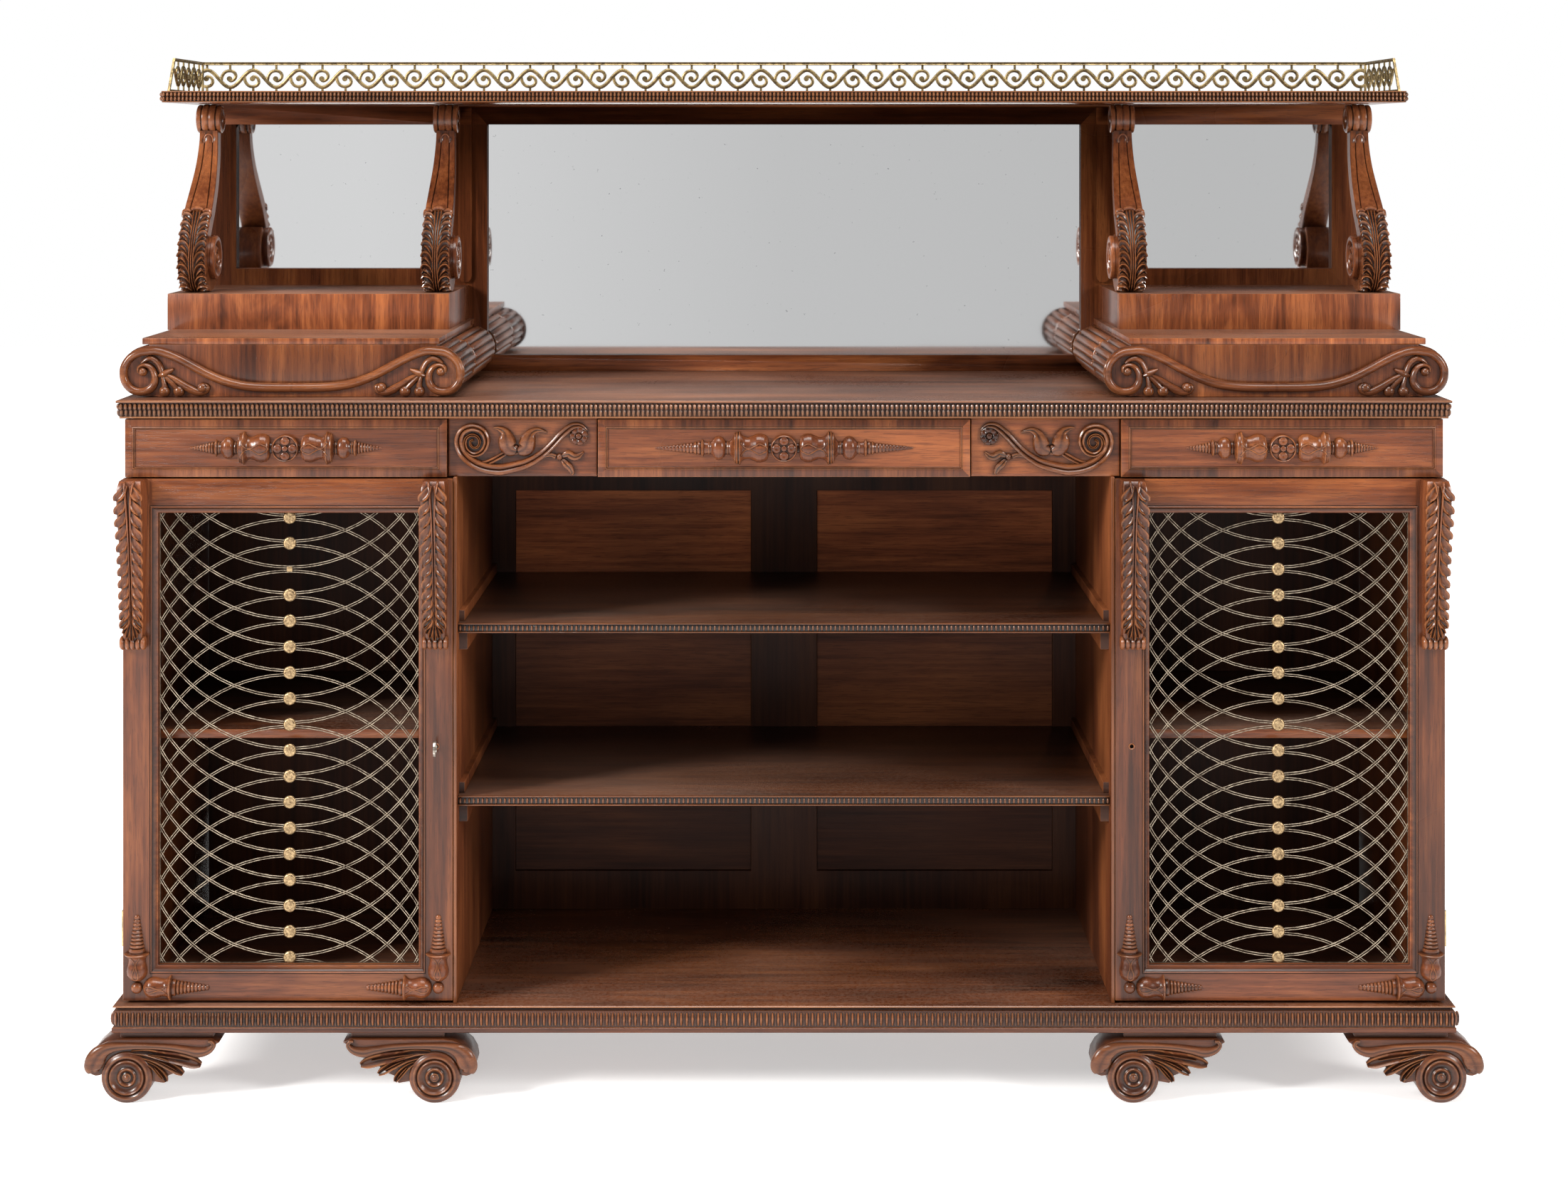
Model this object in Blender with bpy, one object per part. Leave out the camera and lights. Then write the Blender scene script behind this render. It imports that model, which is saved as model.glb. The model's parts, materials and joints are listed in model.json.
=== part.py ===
# A mahogany side cabinet with two grille doors, an open centre niche, three frieze drawers,
# and a raised back with three mirrors, carved scroll brackets and a brass gallery.
# Units are metres. +X is to the right, +Y is to the back, +Z is up.
# The origin is at floor level, in the middle of the overall width and depth.

import math

import bmesh
import bpy
from mathutils import Matrix, Vector

# Clearances
SEAT_GAP = 0.0003
DOOR_SIDE_GAP = 0.001
DOOR_BOTTOM_GAP = 0.004
FRIEZE_GAP = 0.0025
DRAWER_SIDE_GAP = 0.0015
DRAWER_RUN_GAP = 0.0004
DRAWER_BOX_GAP = 0.0005
BOLT_GAP = 0.0003
PIN_GAP = 0.0001
JOINT_OVERLAP = 0.002
CUT_MARGIN = 0.004
HAIR = 0.0002

# Carcass
NICHE_HALF_WIDTH = 0.460
NICHE_DEPTH = 0.471
CARCASS_DEPTH = 0.497
PARTITION_THICKNESS = 0.020
PARTITION_LIP_WIDTH = 0.0055
END_THICKNESS = 0.020
BACK_THICKNESS = 0.022
DUST_BOARD_THICKNESS = 0.012

# Niche back, framed in two panels
BACK_STILE_WIDTH = 0.036
BACK_MUNTIN_WIDTH = 0.104
BACK_TOP_RAIL = 0.079
BACK_BOTTOM_RAIL = 0.060
BACK_PANEL_SINK = 0.007

# Shelves
NICHE_SHELF_FRONT = 0.012
NICHE_SHELF_THICKNESS = 0.014
NICHE_UPPER_SHELF_TOP = 0.6685
NICHE_LOWER_SHELF_TOP = 0.425
CUPBOARD_SHELF_FRONT = 0.040
CUPBOARD_SHELF_THICKNESS = 0.0125
CUPBOARD_SHELF_TOP = 0.513
SHELF_HOUSING = 0.003
BEARER_HEIGHT = 0.026
BEARER_WIDTH = 0.012
BEARER_SETBACK = 0.030
BEARER_FRONT = 0.010
GUIDE_HEIGHT = 0.015
GUIDE_WIDTH = 0.008

# Plinth and feet
PLINTH_HEIGHT = 0.0375
PLINTH_LEDGE = 0.0117
PLINTH_BEAD = 0.0167
PLINTH_FILLET = 0.0127
PLINTH_FILLET_HEIGHT = 0.0075
PLINTH_COVE_HEIGHT = 0.0075
FOOT_HEIGHT = 0.0987
FOOT_DEPTH = 0.060
FOOT_FRONT = 0.008
FOOT_SOLE = 0.014
FOOT_INNER_X = 0.4895
FOOT_OUTER_X = 0.925
ROUNDEL_RADIUS = 0.036
ROUNDEL_RELIEF = 0.007
ARM_REACH = 0.056
ARM_TIP_RADIUS = 0.013
ARM_TIP_HEIGHT = 0.050
ARM_RISE = 0.040
NECK_HEIGHT = 0.012
NECK_OUTSIDE = 0.012
NECK_INSIDE = 0.119
NECK_SETBACK = 0.010
FAN_TIPS = ((0.052, 190.0), (0.074, 174.0), (0.097, 167.0), (0.138, 159.5))
FAN_VALLEYS = ((0.057, 178.5), (0.080, 168.8), (0.104, 163.0))
REAR_FOOT_TOP = 0.066
REAR_FOOT_BOTTOM = 0.048
REAR_FOOT_INSET = 0.030
REAR_FOOT_SETBACK = 0.004

# Doors
DOOR_WIDTH = 0.4633
DOOR_HEIGHT = 0.733
DOOR_THICKNESS = 0.024
DOOR_RAIL = 0.049
DOOR_MOULDING = 0.008
DOOR_MOULDING_SINK = 0.007
DOOR_LIP_DEPTH = 0.0135
GRILLE_REBATE = 0.007
GRILLE_BORDER_THICKNESS = 0.004
LATTICE_PITCH = 0.0365
LATTICE_RADIUS = 0.195
LATTICE_WIDTH = 0.0048
LATTICE_THICKNESS = 0.0014
LATTICE_SHORTEST = math.radians(3.5)
LATTICE_STEP = math.radians(24)
ROSETTE_RADIUS = 0.0065
ROSETTE_FRONT = 0.0015
CORBEL_HEIGHT = 0.238
CORBEL_TOP_WIDTH = 0.044
CORBEL_BOTTOM_WIDTH = 0.034
CORBEL_PROJECTION = 0.032
CORBEL_OVERHANG = 0.010
CORBEL_INNER_INSET = 0.006
FINIAL_LENGTH = 0.092
FINIAL_RADIUS = 0.0155
FINIAL_BALL_RADIUS = 0.0075
FINIAL_DEPTH_RATIO = 0.8
FINIAL_INSET_SIDE = 0.020
FINIAL_INSET_BOTTOM = 0.0185

# Hinges, locks and the key
KNUCKLE_RADIUS = 0.0035
HINGE_PIN_RADIUS = 0.0015
HINGE_LENGTH = 0.050
HINGE_LEAF_WIDTH = 0.016
HINGE_LEAF_THICKNESS = 0.0016
HINGE_END_DISTANCE = 0.095
LOCK_HEIGHT = 0.4975
LOCK_INSET = 0.023
LOCK_THROW = 0.004
BOLT_LENGTH = 0.034
BOLT_HEIGHT = 0.012
BOLT_THICKNESS = 0.005
BOLT_DEPTH = 0.013
KEY_SHAFT_RADIUS = 0.0022
KEY_HOLE_RADIUS = 0.0028
KEY_REACH = 0.026
KEY_BOW_RADIUS = 0.011
KEY_BOW_THICKNESS = 0.003

# Drawers and frieze
DRAWER_FRONT_HEIGHT = 0.081
DRAWER_FRONT_THICKNESS = 0.022
DRAWER_FRONT_TOP_GAP = 0.0015
CENTRE_DRAWER_HALF = 0.262
SIDE_DRAWER_INNER = 0.474
SIDE_DRAWER_MARGIN = 0.0028
DRAWER_BOX_DEPTH = 0.425
DRAWER_BOX_HEIGHT = 0.058
DRAWER_WALL = 0.010
DRAWER_BOTTOM = 0.006
DRAWER_PANEL_INSET = 0.012
DRAWER_PANEL_SINK = 0.002
FRIEZE_SETBACK = 0.009
FRIEZE_THICKNESS = 0.020
DIVIDER_THICKNESS = 0.012
CENTRE_HANDLE_LENGTH = 0.360
SIDE_HANDLE_LENGTH = 0.268
HANDLE_RADIUS = 0.022
HANDLE_DEPTH_RATIO = 0.85
VOLUTE_RADIUS = 0.0275
VOLUTE_MARGIN = 0.008
VOLUTE_HEIGHT = 0.048
STEM_WIDTH = 0.004
STEM_RELIEF = 0.006
ROSE_REACH = 0.146
ROSE_RISE = 0.008
ROSE_RADIUS = 0.012

# Top slab
SLAB_THICKNESS = 0.0255
SLAB_PROJECTION = 0.0085
SLAB_BEAD = 0.010
FILLET_SETBACK = 0.0025
SLAB_BACK = 0.520

# Raised back
SUPERSTRUCTURE_HEIGHT = 0.422
MIRROR_FACE = 0.492
MIRROR_FRAME_THICKNESS = 0.016
MIRROR_FRAME_HALF_WIDTH = 0.897
GLASS_THICKNESS = 0.004
GLASS_OVERLAP = 0.008
CENTRE_GLASS_HALF_WIDTH = 0.461
CENTRE_GLASS_SILL = 0.0255
SIDE_GLASS_INNER = 0.531
SIDE_GLASS_OUTER = 0.866
SIDE_GLASS_SILL = 0.026
GLASS_TOP_RAIL = 0.0305
PILASTER_INNER = 0.485
PILASTER_WIDTH = 0.021
PILASTER_RELIEF = 0.005
PILASTER_MARGIN = 0.004
BACKBOARD_THICKNESS = 0.0055

# Scroll ends, pedestals and brackets
SCROLL_FACE = 0.040
SCROLL_PLATE_THICKNESS = 0.012
SCROLL_BLOCK_HEIGHT = 0.074
SCROLL_DIP = 0.020
SCROLL_FALL_POWER = 2.2
ROLLER_RADIUS = 0.036
ROLLER_INNER_X = 0.493
ROLLER_OUTER_X = 0.905
ROLLER_CAP_RADIUS = 0.0367
REED_COUNT = 16
REED_DEPTH = 0.003
STEP_FRONT = 0.052
STEP_THICKNESS = 0.0089
STEP_SIDE = 0.0095
BOX_FRONT = 0.235
BOX_HEIGHT = 0.0532
BOX_INSET = 0.0015
BRACKET_INNER_INSET = 0.029
BRACKET_OUTER_INSET = 0.0185
BRACKET_FRONT = 0.245
BRACKET_BELLY_WIDTH = 0.041
BRACKET_NECK_WIDTH = 0.027
BRACKET_STRAP = 0.022
BRACKET_SCROLL_RADIUS = 0.046
BRACKET_EYE_RADIUS = 0.033
BRACKET_EYE_WIDTH = 0.054
BRACKET_ROLL_RADIUS = 0.023
BRACKET_ROLL_WIDTH = 0.037
BRACKET_LEAN = 0.138
BRACKET_LOWER_PULL = 0.070
BRACKET_UPPER_PULL = 0.080

# Top board and gallery
TOP_BOARD_THICKNESS = 0.017
TOP_BOARD_HALF_WIDTH = 0.921
TOP_BOARD_FRONT = 0.229
TOP_BOARD_BACK = 0.520
TOP_BOARD_BEAD = 0.004
GALLERY_HEIGHT = 0.051
GALLERY_HALF_WIDTH = 0.914
GALLERY_BACK = 0.502
GALLERY_FRONT = 0.262
GALLERY_END_SLOPE = 0.038
GALLERY_THICKNESS = 0.0028
GALLERY_RAIL_HEIGHT = 0.004
GALLERY_BASE_HEIGHT = 0.003
GALLERY_PITCH = 0.0366
GALLERY_WAVE_HEIGHT = 0.026
GALLERY_RIBBON = 0.003
GALLERY_PEG = 0.003
GALLERY_POST = 0.006

# Levels above the floor
PLINTH_BASE_Z = FOOT_HEIGHT + SEAT_GAP
PLINTH_TOP_Z = PLINTH_BASE_Z + PLINTH_HEIGHT
CARCASS_BASE_Z = PLINTH_TOP_Z + SEAT_GAP
DOOR_BASE_Z = PLINTH_TOP_Z + DOOR_BOTTOM_GAP
DOOR_TOP_Z = DOOR_BASE_Z + DOOR_HEIGHT
FRIEZE_BASE_Z = DOOR_TOP_Z + FRIEZE_GAP
FRIEZE_TOP_Z = FRIEZE_BASE_Z + DRAWER_FRONT_HEIGHT
DUST_BASE_Z = FRIEZE_BASE_Z
DUST_TOP_Z = DUST_BASE_Z + DUST_BOARD_THICKNESS
SLAB_BASE_Z = FRIEZE_TOP_Z + DRAWER_FRONT_TOP_GAP
SLAB_TOP_Z = SLAB_BASE_Z + SLAB_THICKNESS
CARCASS_TOP_Z = SLAB_BASE_Z - SEAT_GAP
BLOCK_BASE_Z = SLAB_TOP_Z + SEAT_GAP
BLOCK_TOP_Z = BLOCK_BASE_Z + SCROLL_BLOCK_HEIGHT
STEP_BASE_Z = BLOCK_TOP_Z + SEAT_GAP
STEP_TOP_Z = STEP_BASE_Z + STEP_THICKNESS
BOX_TOP_Z = STEP_TOP_Z + BOX_HEIGHT
TOP_BOARD_BASE_Z = SLAB_TOP_Z + SUPERSTRUCTURE_HEIGHT
TOP_BOARD_TOP_Z = TOP_BOARD_BASE_Z + TOP_BOARD_THICKNESS
FRAME_TOP_Z = TOP_BOARD_BASE_Z - SEAT_GAP
GALLERY_BASE_Z = TOP_BOARD_TOP_Z + SEAT_GAP
GALLERY_TOP_Z = GALLERY_BASE_Z + GALLERY_HEIGHT

# Places across the width, for the right-hand side
DOOR_INNER_X = NICHE_HALF_WIDTH + PARTITION_LIP_WIDTH
DOOR_OUTER_X = DOOR_INNER_X + DOOR_WIDTH
PARTITION_OUTER_X = NICHE_HALF_WIDTH + PARTITION_THICKNESS
END_INNER_X = DOOR_OUTER_X - END_THICKNESS
HINGE_X = DOOR_OUTER_X + SEAT_GAP + KNUCKLE_RADIUS
LOCK_X = DOOR_INNER_X + LOCK_INSET

# Places through the depth: the door fronts lie in the plane FRONT_Y
FRONT_REACH = max(CORBEL_PROJECTION, KEY_REACH, PLINTH_BEAD, FOOT_FRONT + ROUNDEL_RELIEF)
BACK_REACH = max(SLAB_BACK, TOP_BOARD_BACK, CARCASS_DEPTH)
FRONT_Y = (FRONT_REACH + SEAT_GAP - BACK_REACH) / 2
DOOR_BACK_Y = FRONT_Y + DOOR_THICKNESS
CARCASS_FRONT_Y = DOOR_BACK_Y + SEAT_GAP
BACK_FACE_Y = FRONT_Y + NICHE_DEPTH
CARCASS_BACK_Y = FRONT_Y + CARCASS_DEPTH
DRAWER_FRONT_BACK_Y = FRONT_Y + DRAWER_FRONT_THICKNESS
HINGE_Y = DOOR_BACK_Y + SEAT_GAP / 2
BOLT_Y = FRONT_Y + BOLT_DEPTH
MIRROR_FACE_Y = FRONT_Y + MIRROR_FACE
MIRROR_BACK_Y = MIRROR_FACE_Y + MIRROR_FRAME_THICKNESS
UPPER_BACK_Y = MIRROR_FACE_Y - SEAT_GAP
SCROLL_FACE_Y = FRONT_Y + SCROLL_FACE


def clear_scene():
    for obj in list(bpy.data.objects):
        bpy.data.objects.remove(obj)


def make_material(name, colour, roughness, metallic=0.0):
    material = bpy.data.materials.new(name)
    material.use_nodes = True
    shader = material.node_tree.nodes["Principled BSDF"]
    shader.inputs["Base Color"].default_value = (*colour, 1.0)
    shader.inputs["Roughness"].default_value = roughness
    shader.inputs["Metallic"].default_value = metallic
    return material


# Shapes. Each returns a closed bmesh in world coordinates.
def tidy(shape):
    bmesh.ops.remove_doubles(shape, verts=shape.verts, dist=1e-6)
    bmesh.ops.recalc_face_normals(shape, faces=shape.faces)
    return shape


def box(x, y, z):
    """x, y and z are pairs; either end of a pair may come first."""
    shape = bmesh.new()
    bmesh.ops.create_cube(shape, size=1.0)
    size = Vector((x[1] - x[0], y[1] - y[0], z[1] - z[0]))
    middle = Vector((x[0] + x[1], y[0] + y[1], z[0] + z[1])) / 2
    for vert in shape.verts:
        vert.co = middle + Vector(vert.co * size)
    return tidy(shape)


def in_space(across, up, along, axis):
    """A point of a drawing plane, whose normal is the given axis."""
    if axis == "X":
        return Vector((along, across, up))
    if axis == "Y":
        return Vector((across, along, up))
    return Vector((across, up, along))


def extruded(outline, axis, span):
    """A closed outline drawn square to the axis and carried from one end of span to the other."""
    shape = bmesh.new()
    start, end = span
    base = shape.faces.new([shape.verts.new(in_space(u, v, start, axis)) for u, v in outline])
    grown = bmesh.ops.extrude_face_region(shape, geom=[base])
    moved = [item for item in grown["geom"] if isinstance(item, bmesh.types.BMVert)]
    bmesh.ops.translate(shape, verts=moved, vec=in_space(0, 0, end - start, axis))
    return tidy(shape)


def lofted(rings, closed=False):
    """Rings of the same number of points, skinned; the ends are capped unless the loft is closed."""
    shape = bmesh.new()
    loops = [[shape.verts.new(point) for point in ring] for ring in rings]
    pairs = list(zip(loops, loops[1:]))
    if closed:
        pairs.append((loops[-1], loops[0]))
    for first, second in pairs:
        for i in range(len(first)):
            j = (i + 1) % len(first)
            shape.faces.new((first[i], first[j], second[j], second[i]))
    if not closed:
        shape.faces.new(loops[0])
        shape.faces.new(loops[-1])
    return tidy(shape)


def turned(profile, centre, axis, steps):
    """A profile of (radius, distance along the axis) points, spun about the axis through centre."""
    shape = bmesh.new()
    verts = [shape.verts.new(in_space(r, 0.0, d, axis)) for r, d in profile]
    edges = [shape.edges.new(pair) for pair in zip(verts, verts[1:])]
    bmesh.ops.spin(
        shape,
        geom=verts + edges,
        cent=(0.0, 0.0, 0.0),
        axis=in_space(0, 0, 1, axis),
        angle=math.tau,
        steps=steps,
        use_merge=True,
        use_duplicate=False,
    )
    bmesh.ops.translate(shape, verts=shape.verts, vec=centre)
    return tidy(shape)


def cylinder(centre, axis, radius, span, steps):
    """A plain round bar about the axis through centre, between two distances along it."""
    low, high = span
    return turned(((0.0, low), (radius, low), (radius, high), (0.0, high)), centre, axis, steps)


def swept(path, section, axis):
    """A section carried along a flat path. The path lies square to the axis.

    section(t) lists (offset, depth) points: offset to the left of the path, depth along the axis.
    """
    rings = []
    last = len(path) - 1
    for i, point in enumerate(path):
        ahead = Vector(path[min(i + 1, last)]) - Vector(path[max(i - 1, 0)])
        left = Vector((-ahead.y, ahead.x)).normalized()
        ring = []
        for offset, depth in section(i / last):
            place = Vector(point) + left * offset
            ring.append(in_space(place.x, place.y, depth, axis))
        rings.append(ring)
    return lofted(rings)


def arc(centre, radius, start, end, steps, squash=1.0):
    """Points on an arc between two angles in degrees; squash scales its height."""
    points = []
    for i in range(steps + 1):
        angle = math.radians(start + (end - start) * i / steps)
        points.append((centre[0] + radius * math.cos(angle), centre[1] + radius * squash * math.sin(angle)))
    return points


def bezier(start, pull_out, pull_in, end, steps):
    points = []
    for i in range(steps + 1):
        t = i / steps
        point = (
            Vector(start) * (1 - t) ** 3
            + Vector(pull_out) * 3 * t * (1 - t) ** 2
            + Vector(pull_in) * 3 * t * t * (1 - t)
            + Vector(end) * t**3
        )
        points.append((point.x, point.y))
    return points


def smooth_line(points, per_span):
    """A curve through all the points, with per_span steps between neighbours."""
    padded = [points[0], *points, points[-1]]
    line = []
    for a, b, c, d in zip(padded, padded[1:], padded[2:], padded[3:]):
        a, b, c, d = Vector(a), Vector(b), Vector(c), Vector(d)
        for i in range(per_span):
            t = i / per_span
            point = (
                b * 2
                + (c - a) * t
                + (a * 2 - b * 5 + c * 4 - d) * t * t
                + (b * 3 - a - c * 3 + d) * t**3
            ) / 2
            line.append((point.x, point.y))
    line.append(tuple(points[-1]))
    return line


def both_ways(outline, side):
    """The outline for the right-hand side, or its mirror image for the left."""
    return [(side * u, v) for u, v in outline]


def span(side, inner, outer):
    """A pair of places across the width, on the right (side 1) or the left (side -1)."""
    return side * inner, side * outer


# Objects
def add_node(name, shape, material, origin=(0.0, 0.0, 0.0), parent=None):
    """A visible piece. Its origin is moved to a point of the piece without moving the piece."""
    mesh = bpy.data.meshes.new(name)
    bmesh.ops.translate(shape, verts=shape.verts, vec=-Vector(origin))
    shape.to_mesh(mesh)
    shape.free()
    mesh.materials.append(material)
    obj = bpy.data.objects.new(name, mesh)
    bpy.context.scene.collection.objects.link(obj)
    obj.location = origin
    if parent:
        obj.parent = parent
        obj.matrix_parent_inverse = Matrix.Translation(-parent.location)
    return obj


def add_axis(name, place):
    """An empty on a joint's axis; the pieces that move together are its children."""
    empty = bpy.data.objects.new(name, None)
    empty.empty_display_size = 0.03
    empty.location = place
    bpy.context.scene.collection.objects.link(empty)
    return empty


def combine(obj, shape, operation):
    """Joins a shape to the piece, or cuts it away, with a live Boolean."""
    number = len(obj.modifiers)
    mesh = bpy.data.meshes.new(f"{obj.name}_tool_{number}")
    shape.to_mesh(mesh)
    shape.free()
    tool = bpy.data.objects.new(mesh.name, mesh)
    tool.hide_render = True
    tool.display_type = "WIRE"
    bpy.context.scene.collection.objects.link(tool)
    modifier = obj.modifiers.new(f"{operation}_{number}", "BOOLEAN")
    modifier.operation = operation
    modifier.solver = "EXACT"
    modifier.object = tool


def join_to(obj, shape):
    combine(obj, shape, "UNION")


def cut_from(obj, shape):
    combine(obj, shape, "DIFFERENCE")


def moulded_board(half_width, front, back, levels):
    """A board whose front and sides follow a moulding: levels are (height, projection)."""
    rings = []
    for height, projection in levels:
        side = half_width + projection
        face = front - projection
        rings.append(
            [
                Vector((-side, face, height)),
                Vector((side, face, height)),
                Vector((side, back, height)),
                Vector((-side, back, height)),
            ]
        )
    return lofted(rings)


def half_round_loft(stations, place, direction, squash, sides):
    """A turned form split in half and laid on a face that looks to -Y.

    stations are (distance, radius) along direction, a unit vector in the face.
    """
    along = Vector(direction)
    across = Vector((-along.z, 0.0, along.x))
    rings = []
    for distance, radius in stations:
        ring = []
        for i in range(sides + 1):
            angle = math.pi * i / sides
            point = Vector(place) + along * distance + across * (radius * math.cos(angle))
            point.y -= radius * squash * math.sin(angle)
            ring.append(point)
        rings.append(ring)
    return lofted(rings)


# Plinth and feet
def make_plinth(wood):
    bead_low = PLINTH_BASE_Z + PLINTH_FILLET_HEIGHT
    bead_high = PLINTH_TOP_Z - PLINTH_COVE_HEIGHT
    bead_middle = (bead_low + bead_high) / 2
    bead_radius = (bead_high - bead_low) / 2
    levels = [(PLINTH_BASE_Z, PLINTH_FILLET), (bead_low, PLINTH_FILLET)]
    for angle in (-60, -25, 25, 60):
        height = bead_middle + bead_radius * math.sin(math.radians(angle))
        levels.append((height, PLINTH_BEAD - bead_radius / 2 * (1 - math.cos(math.radians(angle)))))
    levels += [(bead_high, PLINTH_LEDGE / 2), (PLINTH_TOP_Z - SEAT_GAP * 5, PLINTH_LEDGE)]
    levels.append((PLINTH_TOP_Z, PLINTH_LEDGE))
    shape = moulded_board(DOOR_OUTER_X, FRONT_Y, CARCASS_BACK_Y, levels)
    add_node("plinth_base", shape, wood, origin=(0, 0, PLINTH_BASE_Z))


def foot_outline(arm):
    """Arm, roundel and leaf fan in one line; arm is the direction that the arm points in."""
    centre = (0.0, ROUNDEL_RADIUS)
    neck_base = FOOT_HEIGHT - NECK_HEIGHT
    outline = arc((NECK_OUTSIDE, ARM_TIP_HEIGHT), ARM_REACH - NECK_OUTSIDE, 90, 0, 5,
                  squash=(neck_base + JOINT_OVERLAP - ARM_TIP_HEIGHT) / (ARM_REACH - NECK_OUTSIDE))
    tip = (ARM_REACH - ARM_TIP_RADIUS, ARM_TIP_HEIGHT)
    outline += arc(tip, ARM_TIP_RADIUS, -30, -140, 4)
    outline += arc(centre, ROUNDEL_RADIUS, 0, -72, 5)
    outline += [(FOOT_SOLE / 2, 0.0), (-FOOT_SOLE / 2, 0.0)]
    outline += arc(centre, ROUNDEL_RADIUS, -108, -170, 4)
    points = []
    for place, (tip_reach, tip_angle) in enumerate(FAN_TIPS):
        points.append((tip_reach, tip_angle))
        if place < len(FAN_VALLEYS):
            points.append(FAN_VALLEYS[place])
    for reach, angle in points:
        turn = math.radians(angle)
        outline.append((reach * math.cos(turn), ROUNDEL_RADIUS + reach * math.sin(turn)))
    outline.append((-NECK_INSIDE, neck_base + JOINT_OVERLAP))
    return [(arm * u, v) for u, v in outline]


def make_front_foot(name, x, arm, wood):
    front = FRONT_Y - FOOT_FRONT
    back = front + FOOT_DEPTH
    outline = [(x + u, v) for u, v in foot_outline(arm)]
    foot = add_node(name, extruded(outline, "Y", (front, back)), wood, origin=(x, front, 0.0))
    neck_x = (x + arm * NECK_OUTSIDE, x - arm * NECK_INSIDE)
    neck_z = (FOOT_HEIGHT - NECK_HEIGHT - CUT_MARGIN, FOOT_HEIGHT)
    join_to(foot, box(neck_x, (front + NECK_SETBACK, back - JOINT_OVERLAP), neck_z))
    rim = ROUNDEL_RADIUS - JOINT_OVERLAP
    rings = (
        (0.0, -ROUNDEL_RELIEF),
        (rim * 0.30, -ROUNDEL_RELIEF * 0.5),
        (rim * 0.52, -ROUNDEL_RELIEF * 0.9),
        (rim * 0.62, -ROUNDEL_RELIEF * 0.3),
        (rim * 0.90, -ROUNDEL_RELIEF * 0.85),
        (rim, JOINT_OVERLAP),
        (0.0, JOINT_OVERLAP),
    )
    join_to(foot, turned(rings, (x, front, ROUNDEL_RADIUS), "Y", 14))


def make_feet(wood):
    for word, side in (("left", -1), ("right", 1)):
        make_front_foot(f"foot_front_outer_{word}", side * FOOT_OUTER_X, side, wood)
        make_front_foot(f"foot_front_inner_{word}", side * FOOT_INNER_X, -side, wood)
        middle_x = side * (DOOR_OUTER_X - REAR_FOOT_INSET - REAR_FOOT_TOP / 2)
        middle_y = CARCASS_BACK_Y - REAR_FOOT_TOP / 2 - REAR_FOOT_SETBACK
        rings = []
        stages = ((REAR_FOOT_BOTTOM, 0.0), (REAR_FOOT_TOP, FOOT_HEIGHT * 0.8), (REAR_FOOT_TOP, FOOT_HEIGHT))
        for width, height in stages:
            half = width / 2
            rings.append(
                [
                    Vector((middle_x - half, middle_y - half, height)),
                    Vector((middle_x + half, middle_y - half, height)),
                    Vector((middle_x + half, middle_y + half, height)),
                    Vector((middle_x - half, middle_y + half, height)),
                ]
            )
        add_node(f"foot_rear_{word}", lofted(rings), wood, origin=(middle_x, middle_y, 0.0))


# Carcass
def bearer(side_face, out, top, length_y):
    """A batten on a carcass wall, from inside the wall to its free face."""
    x = (side_face - out * JOINT_OVERLAP, side_face + out * BEARER_WIDTH)
    return box(x, length_y, (top - BEARER_HEIGHT, top))


def shelf_housing(side, inner, outer):
    """The groove in a cupboard wall that holds one end of the cupboard shelf."""
    y = (FRONT_Y + CUPBOARD_SHELF_FRONT - SEAT_GAP, BACK_FACE_Y)
    z = (CUPBOARD_SHELF_TOP - CUPBOARD_SHELF_THICKNESS - SEAT_GAP, CUPBOARD_SHELF_TOP + SEAT_GAP)
    return box(span(side, inner, outer), y, z)


def make_partition(word, side, wood):
    top = DUST_BASE_Z - SEAT_GAP
    outline = [
        (NICHE_HALF_WIDTH, FRONT_Y),
        (DOOR_INNER_X - DOOR_SIDE_GAP, FRONT_Y),
        (DOOR_INNER_X - DOOR_SIDE_GAP, CARCASS_FRONT_Y),
        (PARTITION_OUTER_X, CARCASS_FRONT_Y),
        (PARTITION_OUTER_X, BACK_FACE_Y - SEAT_GAP),
        (NICHE_HALF_WIDTH, BACK_FACE_Y - SEAT_GAP),
    ]
    shape = extruded(both_ways(outline, side), "Z", (CARCASS_BASE_Z, top))
    origin = (side * NICHE_HALF_WIDTH, FRONT_Y, CARCASS_BASE_Z)
    wall = add_node(f"partition_{word}", shape, wood, origin=origin)
    length = (FRONT_Y + BEARER_SETBACK, BACK_FACE_Y - BEARER_SETBACK / 3)
    for shelf_top in (NICHE_UPPER_SHELF_TOP, NICHE_LOWER_SHELF_TOP):
        shelf_base = shelf_top - NICHE_SHELF_THICKNESS - SEAT_GAP
        join_to(wall, bearer(side * NICHE_HALF_WIDTH, -side, shelf_base, length))
        guide_x = (side * (NICHE_HALF_WIDTH + JOINT_OVERLAP), side * (NICHE_HALF_WIDTH - GUIDE_WIDTH))
        guide_z = (shelf_top + SEAT_GAP, shelf_top + SEAT_GAP + GUIDE_HEIGHT)
        join_to(wall, box(guide_x, length, guide_z))
    cut_from(wall, shelf_housing(side, PARTITION_OUTER_X - SHELF_HOUSING, PARTITION_OUTER_X + CUT_MARGIN))
    keep_z = (LOCK_HEIGHT - BOLT_HEIGHT / 2 - BOLT_GAP, LOCK_HEIGHT + BOLT_HEIGHT / 2 + BOLT_GAP)
    keep_y = (BOLT_Y - BOLT_GAP, BOLT_Y + BOLT_THICKNESS + BOLT_GAP)
    keep_depth = LOCK_THROW - DOOR_SIDE_GAP + BOLT_GAP
    keep_face = DOOR_INNER_X - DOOR_SIDE_GAP
    cut_from(wall, box(span(side, keep_face - keep_depth, keep_face + CUT_MARGIN), keep_y, keep_z))


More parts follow.
